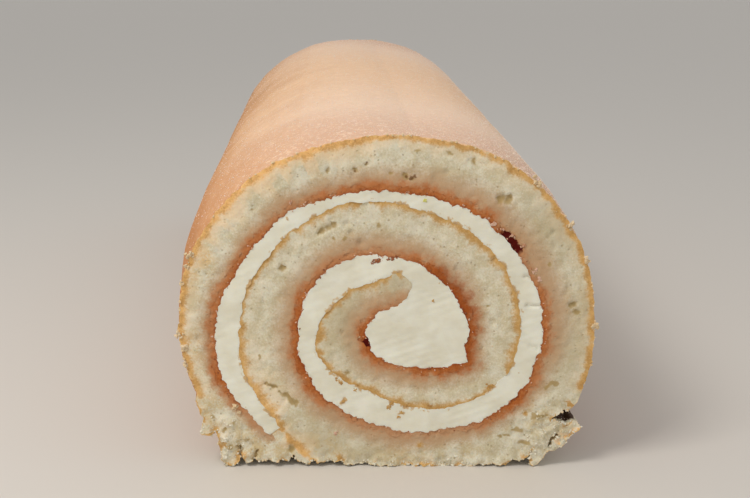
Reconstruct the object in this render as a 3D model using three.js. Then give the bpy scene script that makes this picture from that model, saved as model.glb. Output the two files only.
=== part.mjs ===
// A whole swiss roll cake with both ends trimmed: a sheet of sponge, spread with jam and then
// with buttercream, and rolled up.
//
// Millimetres, +Z up. The roll lies along Y on its flattened underside (z = 0), and the origin is
// under its middle. Seen from the -Y end, +X to the right, the sheet winds anticlockwise from its
// free edge in the centre out to its other edge, which is tucked under the roll at the lower left.
import * as THREE from 'three';

// ---- Driving sizes -------------------------------------------------------------------------------
const LENGTH = 220; // across a 230 mm tin, less the two trimmed ends
const CUT_SKEW = 0.04; // the trimming cuts lean: mm along the roll for each mm across it
const EYE_X = 5; // the centre of the spiral, a little right of the middle of the roll
const EYE_Z = 26.5; // and below half its height, because the roll has settled

const JAM = 1.2; // thickness of the jam on the sheet
const GAP = 0.3; // clearance between touching layers
const FAR_END_TURN = -6; // degrees that the spiral has slipped round by the +Y end

// The sheet as it winds out, one pair for each twelfth of a turn, starting straight above the eye:
// the distance from the eye to the sheet's spread face, and the sheet's thickness there.
const FIRST_ANGLE = 90;
const STATION_ANGLE = 30;
const SHEET = [
  [8.2, 4.0], [6.6, 5.8], [8.2, 6.8],
  [9.6, 8.5], [8.5, 8.0], [7.3, 6.4], [6.5, 7.5], [7.9, 8.2], [9.7, 8.5],
  [9.7, 9.6], [9.9, 10.1], [10.7, 10.8], [13.8, 10.2], [17.9, 10.2], [20.8, 10.2],
  [22.0, 10.4], [21.5, 9.8], [20.0, 11.0], [19.5, 7.0], [20.8, 12.2], [23.0, 10.3],
  [23.8, 9.5], [24.0, 10.5], [25.0, 11.2], [26.5, 10.5], [30.3, 9.7], [34.5, 9.0],
  [37.5, 6.3], [34.8, 7.4], [29.5, 14.0],
];
// Where the spread face was folded over, the buttercream in the middle has a corner.
const CORNER = { angle: 330, height: 1.3, width: 6 };

// Along the sheet, in degrees of winding
const SHEET_START = 104; // its free edge, in the centre
const EDGE_BULGE = 1.6; // how far that edge is rounded out, in mm
const EDGE_SHARES = [0.25, 0.5, 0.75]; // and the points round it, as shares of its thickness
const JAM_START = 116;
const JAM_END = 924;
const SPREAD_END = 936; // the buttercream stops short of the tucked edge
const SEAM_START = 576; // here the tucked edge closes on the turn before it

// The knife squeezed the ends: away from them the roll is fuller by these amounts, listed by
// the angle round the outside (0 is +X, 90 is up), and reaches them this far in.
const SWELL = [[-120, 0.5], [-30, 1.6], [0, 1.6], [30, 1.2], [60, 0.6], [90, 0.2],
  [120, 2.5], [150, 2.6], [180, 1.6], [210, 2.6], [240, 1.0]];
const SWELL_REACH = 25;

// The edge that tore as the ends were trimmed, as [x, z] in the cut face. The crumb came away
// at the lower left, lifts a little off the table, and hangs in a flap at the lower right.
const TORN_LEFT = [[-36.2, 11.8], [-35.0, 9.8], [-35.6, 6.8], [-33.4, 6.3], [-32.3, 4.4],
  [-31.8, 0.8], [-29.7, 0], [-28.3, 2.2], [-27.5, 0.7]];
const TORN_BASE = [[-24.8, 1.1], [-19.2, 1.1], [-18.1, 2.2], [-17.2, 0.6], [-15.1, 0.6], [-14.4, 1.9],
  [-13.5, 0.5], [-9, 0.9], [-4, 0.3], [2, 0], [16, 0], [20, 0.4], [22, 0.1], [23.6, 1.2]];
const TORN_FLAP = [[26.7, 2.0], [27.8, 4.2], [27.1, 0.6], [28.1, 0.1], [30.3, 3.1], [32.0, 3.0],
  [34.3, 5.7], [36.5, 7.8], [35.2, 9.3], [33.2, 8.5], [30.8, 9.3], [33.1, 11.4], [34.9, 11.8]];
const TORN_REACH = 9; // how far along the roll the tears run
const FAR_TEAR = 0.5; // the +Y end tore half as much

// The smooth outside runs from above the flap, over the top, to above the tucked edge.
const FLAP_TOP = -22;
const TUCK_TOP = 202;

// Faceting
const CHORD = 3.8; // length of one facet round a layer
const MOST_TURN = 13; // or this many degrees of winding, where that is shorter
const OUTSIDE_STEP = 7; // degrees of one facet round the outside
const LAYER_SECTIONS = [-1, -0.35, 0.35, 1]; // places along the roll, as shares of its half length
const OUTSIDE_SECTIONS = [0, 2.5, 5.5, 9, 15, 25, 60]; // distances in from each end

// ---- The spiral ----------------------------------------------------------------------------------
const { degToRad, radToDeg, clamp, lerp, mapLinear } = THREE.MathUtils;

// A smooth line through equally spaced values (Catmull-Rom).
function smooth(values, place) {
  const last = values.length - 1;
  const i = clamp(Math.floor(place), 0, last - 1);
  const t = place - i;
  const [a, b, c, d] = [Math.max(i - 1, 0), i, i + 1, Math.min(i + 2, last)].map((k) => values[k]);
  const cubic = 3 * b - a - 3 * c + d;
  const square = 2 * a - 5 * b + 4 * c - d;
  return (2 * b + (c - a) * t + square * t * t + cubic * t * t * t) / 2;
}

const SPREAD_RADII = SHEET.map(([spread]) => spread);
const CRUST_RADII = SHEET.map(([spread, thickness]) => spread + thickness);
const station = (winding) => (winding - FIRST_ANGLE) / STATION_ANGLE;

// Distance from the eye to the sheet's spread face and to its browned face.
function spreadRadius(winding) {
  const off = (winding - CORNER.angle) / CORNER.width;
  return smooth(SPREAD_RADII, station(winding)) + CORNER.height * Math.exp(-off * off);
}
const crustRadius = (winding) => smooth(CRUST_RADII, station(winding));

function atEye(angle, radius) {
  return new THREE.Vector2(
    EYE_X + radius * Math.cos(degToRad(angle)),
    EYE_Z + radius * Math.sin(degToRad(angle)),
  );
}

// Windings from one angle to another, a facet's length apart.
const facet = (radius) => Math.min(MOST_TURN, radToDeg(CHORD / radius));
function windings(from, to, radiusAt) {
  const list = [];
  for (let w = from; w < to - facet(radiusAt(to)) / 2; w += facet(radiusAt(w))) list.push(w);
  return [...list, to];
}

const clearOf = (winding) => radToDeg(GAP / spreadRadius(winding));
const JAM_WINDINGS = windings(JAM_START, JAM_END, spreadRadius);
const SPREAD_WINDINGS = [
  ...windings(SHEET_START, JAM_START - clearOf(JAM_START), spreadRadius),
  ...JAM_WINDINGS,
  ...windings(JAM_END + clearOf(JAM_END), SPREAD_END, spreadRadius),
];
const CRUST_WINDINGS = windings(SHEET_START, SEAM_START, crustRadius);

const slip = (y) => FAR_END_TURN * (y / LENGTH + 0.5);

// ---- Sections of the layers, as closed lists of points, anticlockwise -----------------------------
// A line along one face of the sheet, moved outwards by an offset.
function line(list, radiusAt, offset, y) {
  return list.map((w) => atEye(w + slip(y), radiusAt(w) + offset));
}

// The free edge of the sheet is rounded: points round it, from the browned face to the spread one.
function freeEdge(offset, y) {
  return EDGE_SHARES.map((share) => {
    const radius = lerp(crustRadius(SHEET_START), spreadRadius(SHEET_START), share);
    const reach = EDGE_BULGE * Math.sin(Math.PI * share) + offset;
    return atEye(SHEET_START - radToDeg(reach / radius) + slip(y), radius);
  });
}

// The space between the turns, with a clearance to the sheet's browned face, its free edge and
// the place where the turns close, and an offset from its spread face.
function between(offsetAt, clearance, y) {
  const short = (clearOf(SPREAD_END) * clearance) / GAP;
  const spread = SPREAD_WINDINGS.map((w) => Math.min(w, SPREAD_END - short));
  const crust = CRUST_WINDINGS.map((w) => Math.min(w, SEAM_START - short));
  return [
    ...spread.flatMap((w, i) => line([w], spreadRadius, offsetAt(SPREAD_WINDINGS[i]), y)),
    ...line(crust, crustRadius, clearance, y).reverse(),
    ...freeEdge(clearance, y),
  ];
}

// The hollow in the sponge has room for the jam as well; the buttercream fills what the jam leaves.
const jamRoom = (w) => (JAM_WINDINGS.includes(w) ? JAM + 1.5 * GAP : GAP / 2);
const hollow = (y) => between(jamRoom, 0, y).reverse();
const creamSection = (y) => between(() => -GAP / 2, GAP, y);

function jamSection(y) {
  const inside = line(JAM_WINDINGS, spreadRadius, GAP / 2, y);
  const outside = line(JAM_WINDINGS, spreadRadius, GAP / 2 + JAM, y);
  return [...outside, ...inside.reverse()];
}

// ---- Section of the outside ----------------------------------------------------------------------
const fromEnd = (y) => LENGTH / 2 - Math.abs(y);
const swell = (y) => Math.sin((Math.PI / 2) * Math.min(1, fromEnd(y) / SWELL_REACH));
const tear = (y) => Math.max(0, 1 - fromEnd(y) / TORN_REACH) * (y > 0 ? FAR_TEAR : 1);

function swellAt(angle) {
  const i = SWELL.findIndex(([to]) => angle <= to);
  const [[a, fromSize], [b, toSize]] = [SWELL[Math.max(i - 1, 0)], SWELL[Math.max(i, 1)]];
  return mapLinear(angle, a, b, fromSize, toSize);
}

// A point of the outside; the table flattens whatever would reach below it.
function outside(angle, y) {
  const point = atEye(angle, crustRadius(angle + 720) + swell(y) * swellAt(angle));
  point.y = Math.max(point.y, 0);
  return point;
}

// A torn edge fades into the smooth outside, shared out evenly over the same angles.
function tornEdge(points, fromAngle, toAngle, y) {
  return points.map(([x, z], i) => {
    const whole = outside(lerp(fromAngle, toAngle, (i + 1) / (points.length + 1)), y);
    return whole.lerp(new THREE.Vector2(x, z), tear(y));
  });
}

function outsideSection(y) {
  const over = [];
  for (let angle = FLAP_TOP; angle <= TUCK_TOP; angle += OUTSIDE_STEP) over.push(outside(angle, y));
  return [
    ...over,
    ...tornEdge(TORN_LEFT, TUCK_TOP, 218, y),
    ...TORN_BASE.map(([x, z]) => new THREE.Vector2(x, z * tear(y))),
    ...tornEdge(TORN_FLAP, -50, FLAP_TOP, y),
  ];
}

// ---- Solids --------------------------------------------------------------------------------------
// Skins the sections of one or more closed lines along the roll, and closes both ends. The first
// line is the outline, anticlockwise; any other is a hole through it, clockwise.
function solid(lines) {
  const positions = [];
  const faces = [];
  const ends = [[], []]; // numbers of the points in each end face, line by line

  for (const { section, places } of lines) {
    const rings = places.map((y) => section(y).map((point) => {
      positions.push(point.x, y * (1 + (CUT_SKEW * point.x * 2) / LENGTH), point.y);
      return positions.length / 3 - 1;
    }));
    for (let k = 1; k < rings.length; k++) {
      rings[k].forEach((corner, i) => {
        const before = rings[k].at(i - 1);
        const [nearBefore, near] = [rings[k - 1].at(i - 1), rings[k - 1][i]];
        faces.push(nearBefore, corner, near, nearBefore, before, corner);
      });
    }
    ends[0].push(rings[0]);
    ends[1].push(rings.at(-1));
  }

  ends.forEach((rings, end) => {
    const corners = rings.flat();
    const flat = rings.map((ring) => ring.map((n) => new THREE.Vector2(positions[3 * n], positions[3 * n + 2])));
    for (const [a, b, c] of THREE.ShapeUtils.triangulateShape(flat[0], flat.slice(1))) {
      const turned = end === 0 ? [a, b, c] : [a, c, b];
      faces.push(...turned.map((n) => corners[n]));
    }
  });

  const geometry = new THREE.BufferGeometry();
  geometry.setAttribute('position', new THREE.Float32BufferAttribute(positions, 3));
  geometry.setIndex(faces);
  geometry.computeVertexNormals();
  return geometry;
}

const layerPlaces = LAYER_SECTIONS.map((share) => (share * LENGTH) / 2);
const outsidePlaces = [
  ...OUTSIDE_SECTIONS.map((inward) => inward - LENGTH / 2),
  ...OUTSIDE_SECTIONS.map((inward) => LENGTH / 2 - inward).reverse(),
];

// ---- The cake ------------------------------------------------------------------------------------
const group = new THREE.Group();
function add(name, geometry, color, roughness) {
  const mesh = new THREE.Mesh(geometry, new THREE.MeshStandardMaterial({ color, roughness, metalness: 0 }));
  mesh.name = name;
  group.add(mesh);
}

// The sponge sheet: one piece, its turns joined where the tucked edge has closed on the turn before.
add('sponge', solid([
  { section: outsideSection, places: outsidePlaces },
  { section: hollow, places: layerPlaces },
]), 0xd6c6a2, 0.95);

// The jam, spread on the sheet and partly soaked in.
add('jam', solid([{ section: jamSection, places: layerPlaces }]), 0xb0602f, 0.45);

// The buttercream, from the thick core out to its tail by the tucked edge.
add('buttercream', solid([{ section: creamSection, places: layerPlaces }]), 0xe8e0ca, 0.6);

export default group;
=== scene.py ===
# %% [markdown]
# # A swiss roll cake
# A thin sheet of sponge is spread with jam and buttercream and rolled up while it is soft. Both
# ends are trimmed with a knife, so each end shows the spiral of sponge, jam and cream.
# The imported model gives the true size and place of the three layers. This lesson replaces each of
# them with a finely modelled piece of the same form, and adds what clings to a cake: crumbs and sugar.

# %% Load the fixed frame
import math

import bmesh
import bpy
import numpy as np
from mathutils import Euler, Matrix, Vector, kdtree, noise
from mathutils.geometry import delaunay_2d_cdt


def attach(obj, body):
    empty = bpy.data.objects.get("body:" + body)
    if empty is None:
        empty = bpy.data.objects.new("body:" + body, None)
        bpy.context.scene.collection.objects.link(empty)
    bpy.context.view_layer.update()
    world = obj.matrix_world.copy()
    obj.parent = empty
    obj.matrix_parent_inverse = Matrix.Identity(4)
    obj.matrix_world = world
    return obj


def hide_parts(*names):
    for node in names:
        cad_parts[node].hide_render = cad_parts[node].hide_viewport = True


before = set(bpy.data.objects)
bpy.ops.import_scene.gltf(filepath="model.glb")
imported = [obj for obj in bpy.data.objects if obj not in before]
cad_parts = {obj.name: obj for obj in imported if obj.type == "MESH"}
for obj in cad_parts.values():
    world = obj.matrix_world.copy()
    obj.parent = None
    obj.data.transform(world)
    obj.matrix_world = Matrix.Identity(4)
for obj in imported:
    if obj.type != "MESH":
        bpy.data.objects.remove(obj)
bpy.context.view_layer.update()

MM = 0.001

# %% [markdown]
# ## The camera
# The roll lies along Y with one cut end towards us. A lens of about 59 mm, held a hand's width
# above the cake and 33 cm from its middle, looks down the roll, so that the near end is
# seen almost square on and the skin runs away behind it.

# %% Place the camera
CAMERA_AT = (-11.16, -328.82, 97.72)  # mm
CAMERA_PITCH = -14.04  # degrees below level
CAMERA_YAW = -2.25  # degrees to the right
FOCAL_LENGTH = 59.33  # mm, on a 36 mm sensor



def put(name, data):
    """An object made from a camera, a mesh or a light, and put into the scene."""
    made = bpy.data.objects.new(name, data)
    bpy.context.scene.collection.objects.link(made)
    return made


camera_data = bpy.data.cameras.new("camera")
camera_data.lens = FOCAL_LENGTH
camera_data.clip_start = 0.01  # m
camera = put("camera", camera_data)
camera.location = Vector(CAMERA_AT) * MM
camera.rotation_euler = Euler((math.radians(90 + CAMERA_PITCH), 0, math.radians(CAMERA_YAW)))
bpy.context.scene.camera = camera
print("camera at", [round(c, 3) for c in camera.location])

# %% [markdown]
# ## The spiral
# A drawn spiral would be too perfect: a hand-rolled sheet is pinched in one place and slack in
# another. So the sheet is given by two values at every twelfth of a turn, the distance from the
# eye of the spiral to its spread face and its thickness, and a smooth line runs through them.
# A few dents, each a low hump at one winding, add what is smaller than a twelfth of a turn.

# %% The sheet as it winds out
LENGTH = 220.0  # mm
CUT_SKEW = 0.04  # mm that a cut leans along the roll for each mm across it
EYE = np.array([5.0, 26.5])  # x, z of the spiral's eye, mm
FAR_END_TURN = -6.0  # degrees that the layers have slipped round by the far end
FIRST_ANGLE, STATION_ANGLE = 90.0, 30.0  # degrees, of the first value and between two values
SHEET = np.array([
    [8.2, 4.0], [6.6, 5.8], [8.2, 6.8],
    [9.6, 8.5], [8.5, 8.0], [7.3, 6.4], [6.5, 7.5], [7.9, 8.2], [9.7, 8.5],
    [9.7, 9.6], [9.9, 10.1], [10.7, 10.8], [13.8, 10.2], [17.9, 10.2], [20.8, 10.2],
    [22.0, 10.4], [21.5, 9.8], [20.0, 11.0], [19.5, 7.0], [20.8, 12.2], [23.0, 10.3],
    [23.8, 9.5], [24.0, 10.5], [25.0, 11.2], [26.5, 10.5], [30.3, 9.7], [34.5, 9.0],
    [37.5, 6.3], [34.8, 7.4], [29.5, 14.0],
])  # distance from the eye to the spread face, and thickness, mm
SPREAD_DENTS = [(191, -0.8, 6), (330, 1.3, 6), (316, 0.4, 9), (361, 0.25, 12), (415, 0.3, 16),
                (465, -0.6, 9), (585, -0.4, 8), (620, 0.2, 14), (645, -0.5, 9), (705, -0.4, 8),
                (785, 0.35, 14), (855, 0.5, 8), (880, -0.5, 16), (912, 0.6, 8)]  # winding, height, half width
CRUST_DENTS = [(195, 0.6, 12), (225, -0.4, 9), (262, 0.4, 14), (445, -0.35, 16), (495, -0.4, 8),
               (552, 0.9, 11)]
SHEET_START, SPREAD_END = 104.0, 936.0  # windings, in degrees, of the free edge and of the tucked edge
JAM_START, JAM_END = 116.0, 924.0  # windings between which jam was spread
SEAM_START = 576.0  # winding whose browned face the tucked edge closes on
EDGE_BULGE = 1.6  # mm that the free edge is rounded out
print("the sheet is given at", len(SHEET), "places, one every", STATION_ANGLE, "degrees")


# %% A smooth line through the values
def smooth(values, place):
    """A smooth line through equally spaced values (Catmull-Rom), read at any places."""
    last = len(values) - 1
    i = np.clip(np.floor(place).astype(int), 0, last - 1)
    t = place - i
    a, b, c, d = (values[np.clip(i + k, 0, last)] for k in (-1, 0, 1, 2))
    cubic = 3 * b - a - 3 * c + d
    square = 2 * a - 5 * b + 4 * c - d
    return (2 * b + (c - a) * t + square * t * t + cubic * t**3) / 2


def dents(winding, humps):
    return sum(height * np.exp(-((winding - at) / width) ** 2) for at, height, width in humps)


def spread_radius(winding):
    winding = np.asarray(winding, float)
    return smooth(SHEET[:, 0], (winding - FIRST_ANGLE) / STATION_ANGLE) + dents(winding, SPREAD_DENTS)


def crust_radius(winding):
    winding = np.asarray(winding, float)
    return smooth(SHEET.sum(axis=1), (winding - FIRST_ANGLE) / STATION_ANGLE) + dents(winding, CRUST_DENTS)


def at_eye(angle, radius):
    """Points (x, z) in mm at an angle in degrees and a distance from the eye."""
    turn = np.radians(angle)
    return EYE + np.stack([radius * np.cos(turn), radius * np.sin(turn)], axis=-1)


def slip(y):
    """How far the layers have slipped round at a place along the roll, in degrees."""
    return FAR_END_TURN * (y / LENGTH + 0.5)


windings = np.arange(SHEET_START, SPREAD_END)
middle = at_eye(windings, (spread_radius(windings) + crust_radius(windings)) / 2)
print("the sheet is", round(np.linalg.norm(np.diff(middle, axis=0), axis=1).sum()), "mm long")

# %% [markdown]
# ## Lines that look torn
# Crumb doesn't end in a clean line. Every line of the roll is sampled about every third of a
# millimetre, and moved in and out a little by smooth noise. The noise is read at the point's own
# place, so two layers that share a line are moved alike and never part.

# %% Sample and roughen a line
STEP = 0.32  # mm between the points of a line


def rough(points, grain, seed, octaves=3):
    """Smooth noise, about -1 to 1, at points in mm. The grain is the size of its lumps in mm."""
    away = Vector((seed * 17.3, seed * 5.1, seed * 9.7))
    flat = np.zeros((len(points), 3))
    flat[:, : points.shape[1]] = points / grain
    return np.array([noise.fractal(Vector(p) + away, 1.0, 2.0, octaves) for p in flat])


def run_along(points):
    """How far each point of a line is from its start, measured along the line."""
    return np.concatenate([[0], np.cumsum(np.linalg.norm(np.diff(points, axis=0), axis=1))])


def even(points, step=STEP):
    """The same line through points that are evenly spaced."""
    along = run_along(points)
    places = np.linspace(0, along[-1], max(2, round(along[-1] / step) + 1))
    return np.stack([np.interp(places, along, points[:, k]) for k in (0, 1)], axis=-1)


def even_windings(start, end, radius_at, step=STEP):
    """Windings whose points on a spiral line are evenly spaced."""
    fine = np.linspace(start, end, 4000)
    along = run_along(at_eye(fine, radius_at(fine)))
    return np.interp(np.linspace(0, along[-1], round(along[-1] / step) + 1), along, fine)


spread_windings = even_windings(SHEET_START, SPREAD_END, spread_radius)
crust_windings = even_windings(SHEET_START, SEAM_START, crust_radius)
print(len(spread_windings), "points on the spread face,", len(crust_windings), "on the browned face inside")

# %% [markdown]
# ## The jam
# The jam is about a millimetre thick, and much of it soaks into the crumb. Here it is a strong
# orange-red band, there only a stain, as the spreading knife left it. Three named lists hold that:
# how much jam there is at each winding, where a whole lump of jam stayed, and how far out into the
# crumb the faint stain reaches.

# %% How much jam there is, and its line
JAM_AMOUNT = np.array([
    (104, 0.1), (111, 0.3), (135, 0.45), (155, 0.65), (172, 1.0), (205, 1.1), (230, 0.75), (248, 0.6),
    (266, 0.95), (300, 1.0), (336, 1.25), (372, 1.3), (400, 1.55), (426, 1.5), (450, 0.9), (467, 0.6),
    (492, 0.6), (508, 0.7), (523, 1.0), (552, 1.0), (569, 1.0), (584, 0.6), (600, 0.6), (616, 0.35),
    (632, 0.3), (650, 0.3), (659, 0.45), (668, 0.8), (684, 1.05), (697, 0.85), (720, 0.9), (738, 0.9),
    (751, 0.35), (756, 0.4), (776, 0.95), (790, 1.0), (815, 0.9), (842, 0.85), (850, 0.55), (858, 0.55),
    (865, 0.85), (893, 0.85), (902, 0.7), (909, 0.85), (914, 1.05), (920, 0.75), (926, 0.45), (931, 0.3),
    (936, 0.1),
])  # winding, how much jam there is, where 1 is a full spread
JAM_LUMPS = [(190, 8.0, 0.4), (765.5, 7.0, 0.5)]  # winding, half length in degrees, extra thickness
JAM_THINNEST, JAM_THICKEST = 0.6, 1.1  # mm, with no jam to speak of and with a full spread
SOAKED_TO = np.array([(104, 3.0), (150, 5.5), (205, 6.5), (300, 5.5), (340, 5.0), (375, 5.4), (400, 6.6),
                      (426, 6.6), (470, 5.8), (540, 6.3), (590, 5.5), (640, 4.8), (670, 4.6), (700, 5.4),
                      (725, 7.2), (750, 7.2), (785, 7.4), (810, 6.6), (842, 5.2), (865, 4.8), (893, 4.6),
                      (936, 2.5)])  # winding, how many mm the faint stain reaches


def jam_amount(winding):
    return np.interp(winding, JAM_AMOUNT[:, 0], JAM_AMOUNT[:, 1])


def lump(winding):
    """0 to 1: how much of a whole lump of jam lies at a winding."""
    return sum(np.clip(1.3 - ((winding - at) / half) ** 2, 0, 1) for at, half, extra in JAM_LUMPS)


def jam_thickness(winding):
    thickness = JAM_THINNEST + (JAM_THICKEST - JAM_THINNEST) * jam_amount(winding)
    for at, half, extra in JAM_LUMPS:
        thickness = thickness + extra * np.clip(1 - ((winding - at) / half) ** 2, 0, 1)
    return thickness


def spread_line(winding, y, offset=0.0):
    """The ragged line where the sheet's jam meets the buttercream, a little within the drawn spiral."""
    clean = at_eye(winding, spread_radius(winding))
    teeth = 0.55 * np.abs(rough(clean, 1.6, 1)) + 0.2 * rough(clean, 0.7, 13, 2)
    jag = 0.4 * rough(clean, 3.5, 2) - 0.05 - teeth
    return at_eye(winding + slip(y), spread_radius(winding) + jag + offset)


def soaked_line(winding, y, offset=0.0):
    """The uneven line where the jam ends and the crumb begins."""
    clean = at_eye(winding, spread_radius(winding))
    jag = 0.4 * rough(clean, 4.0, 2) + 0.5 * rough(clean, 1.3, 3)
    return at_eye(winding + slip(y), spread_radius(winding) + jam_thickness(winding) + jag + offset)


print("jam", JAM_THINNEST, "to", round(float(jam_thickness(766.0)), 1), "mm thick")

# %% [markdown]
# ## The browned face inside the roll, and the free edge
# The browned face of each inner turn touches the buttercream. It is a thin golden skin with
# crumbs that the rolling has dragged loose. The sheet's free edge, in the centre, is rounded.

# %% Lines of the inner turns
def browned_line(winding, y, offset=0.0):
    clean = at_eye(winding, crust_radius(winding))
    jag = 0.34 * rough(clean, 1.4, 4) + 0.3 * rough(clean, 5.0, 5) + 0.25
    return at_eye(winding + slip(y), crust_radius(winding) + jag + offset)


def free_edge(y, offset=0.0):
    """Round the sheet's free edge, from its browned face to its spread face."""
    share = np.linspace(0, 1, 11)[1:-1]
    radius = crust_radius(SHEET_START) * (1 - share) + spread_radius(SHEET_START) * share
    reach = EDGE_BULGE * np.sin(math.pi * share) + offset
    return at_eye(SHEET_START - np.degrees(reach / radius) + slip(y), radius)


def jammed(winding):
    """0 to 1: the jam's thickness, as a share, where it runs out near both edges of the sheet."""
    return np.clip(np.minimum(winding - JAM_START, JAM_END - winding) / 3, 0, 1)[:, None]


def hollow_line(y):
    """Round the space in the sponge that jam and buttercream fill."""
    inner = spread_line(spread_windings, y)
    spread = inner + (soaked_line(spread_windings, y) - inner) * jammed(spread_windings)
    return np.concatenate([spread, browned_line(crust_windings, y)[::-1], free_edge(y)])


def cream_line(y):
    """Round the buttercream, which reaches a hair under the jam and the skin."""
    spread = spread_line(spread_windings, y, offset=0.1)
    crust = browned_line(crust_windings, y, offset=-0.1)[::-1]
    return np.concatenate([spread, crust, free_edge(y, offset=-0.1)])


jam_windings = even_windings(JAM_START, JAM_END, spread_radius)


def jam_line(y):
    """Round the jam, which reaches a hair under the crumb."""
    inner = spread_line(jam_windings, y)
    outer = soaked_line(jam_windings, y, offset=0.15)
    outer = inner + (outer - inner) * (0.2 + 0.8 * jammed(jam_windings))
    return np.concatenate([outer, inner[::-1]])


print("the hollow is", len(hollow_line(0)), "points round")

# %% [markdown]
# ## The outside
# Over the top the outside is the browned face of the last turn. Away from the cut ends the roll is
# a little fuller, because the knife squeezed the ends. Underneath, the table has flattened it. At the
# lower corners the crumb tore as the ends were trimmed: a flake is gone at the left, and a
# flap hangs at the right. Torn edges are short lists of corners, blended into the smooth outside.

# %% Corners of the torn edges
SWELL = np.array([(-120, 0.5), (-30, 1.6), (0, 1.6), (30, 1.2), (60, 0.6), (90, 0.2), (120, 2.5),
                  (150, 2.6), (180, 1.6), (210, 2.6), (240, 1.0)])  # angle, mm that the roll is fuller
SWELL_REACH = 25.0  # mm from a cut end to where the roll is at its fullest
TORN_REACH, FAR_TEAR = 11.0, 0.5  # mm that the tears reach in, and their share at the far end
FLAP_BOTTOM, FLAP_TOP = -50.0, -18.0  # angles, in degrees, between which the flap is torn
TUCK_TOP, TUCK_BOTTOM = 196.0, 216.0  # angles between which the left corner is torn
TORN_STEP = 0.42  # mm between the points of a torn edge
TORN_LEFT = np.array([(-36.4, 13.2), (-36.0, 12.0), (-35.0, 10.0), (-35.3, 8.5), (-35.6, 6.8), (-33.8, 6.3),
                      (-32.8, 7.3), (-32.3, 5.0), (-32.0, 3.3), (-31.7, 1.0), (-31.0, 0.4), (-29.7, 0.1),
                      (-28.7, 0.8), (-28.2, 1.8), (-28.5, 3.3), (-27.8, 1.9), (-27.1, 0.8)])
TORN_BASE = np.array([(-26.2, 0.8), (-25.6, 1.8), (-24.9, 0.9), (-21.5, 1.2), (-19.2, 1.1), (-18.1, 2.4),
                      (-17.3, 0.8), (-15.1, 0.6), (-14.4, 1.9), (-13.6, 0.5), (-11.0, 1.0), (-9.0, 0.9),
                      (-6.5, 0.3), (-4.0, 0.5), (-2.0, 0.0), (16.0, 0.0), (17.5, 0.3), (20.0, 0.3),
                      (22.0, 0.3), (23.5, 1.3)])
TORN_FLAP = np.array([(25.0, 1.2), (26.6, 2.1), (27.6, 4.2), (26.9, 1.6), (27.0, 0.4), (27.6, 0.1),
                      (28.4, 0.4), (29.2, 1.4), (30.2, 3.2), (31.7, 3.1), (33.0, 4.0), (34.2, 5.6),
                      (35.2, 6.6), (36.5, 7.9), (35.8, 8.9), (34.9, 9.3), (33.7, 8.6), (33.1, 9.1),
                      (31.5, 9.4), (30.7, 9.2), (30.9, 9.9), (31.9, 10.5), (33.2, 11.7), (33.6, 11.1),
                      (34.5, 11.7), (35.6, 13.0)])
POCKETS = [((30.8, 9.5), 1.6, (-3.5, -0.4)), ((-33.6, 6.5), 1.2, (1.5, 0.3))]  # at, half width, how far in
print("torn edges have", len(TORN_LEFT), "+", len(TORN_BASE), "+", len(TORN_FLAP), "corners")


# %% Line of the outside at any place along the roll
def from_end(y):
    return LENGTH / 2 - abs(y)


def swell(y):
    return math.sin(math.pi / 2 * min(1, from_end(y) / SWELL_REACH))


def tear(y):
    """1 where the corners are fully torn, 0 where they are whole. A tear closes late, like a pocket."""
    return max(0, 1 - (from_end(y) / TORN_REACH) ** 2) * (FAR_TEAR if y > 0 else 1)


def outside(angle, y):
    """Points of the outside at angles round the eye; the table flattens what would reach below it."""
    fuller = swell(y) * np.interp(angle, SWELL[:, 0], SWELL[:, 1])
    points = at_eye(angle, crust_radius(angle + 720) + fuller)
    points[:, 1] = np.maximum(points[:, 1], 0)
    return points


size_there = np.ptp(outside(np.arange(-120.0, 240.0), 0.0), axis=0)
print("half way along, the roll is", size_there.round(1).tolist(), "mm")


# %% Torn edges, and the whole line round the outside
def whole_line(count, from_angle, to_angle, y):
    """The smooth outside as so many points between two angles."""
    share = (np.arange(count) + 1) / (count + 1)
    return outside(from_angle + (to_angle - from_angle) * share, y)


def in_space(points, y):
    """Points (x, z) of a section as points (x, z, y)."""
    return np.column_stack([points, np.full(len(points), y)])


def torn(corners, from_angle, to_angle, y):
    """A torn edge, blended into the smooth outside between two angles."""
    line = even(corners, TORN_STEP)
    whole = whole_line(len(line), from_angle, to_angle, y)
    place = in_space(line, y)
    ragged = line + 0.24 * np.stack([rough(place, 1.0, 6), rough(place, 1.0, 7)], axis=-1)
    behind = math.sin(math.pi * min(1, from_end(y) / TORN_REACH))
    for (x, z), width, inwards in POCKETS:
        share_here = np.exp(-((np.linalg.norm(line - [x, z], axis=1) / width) ** 2))
        ragged = ragged + share_here[:, None] * np.array(inwards) * behind
    ragged[:, 1] = np.maximum(ragged[:, 1], 0.02)
    return whole + (ragged - whole) * tear(y)


over_angles = even_windings(FLAP_TOP + 720, TUCK_TOP + 720, crust_radius) - 720


def skin_relief(points, y):
    """Low dents all along the skin, and a ragged rim at the cut ends, in mm."""
    place = in_space(points, y)
    low = 0.28 * rough(place, 16.0, 8, 2) + 0.1 * rough(place, 4.0, 9, 2)
    rim = math.exp(-from_end(y) / 0.8)
    return low + rim * (0.32 * rough(place, 1.1, 10) + 0.25 * rough(place, 3.0, 11))


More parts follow.
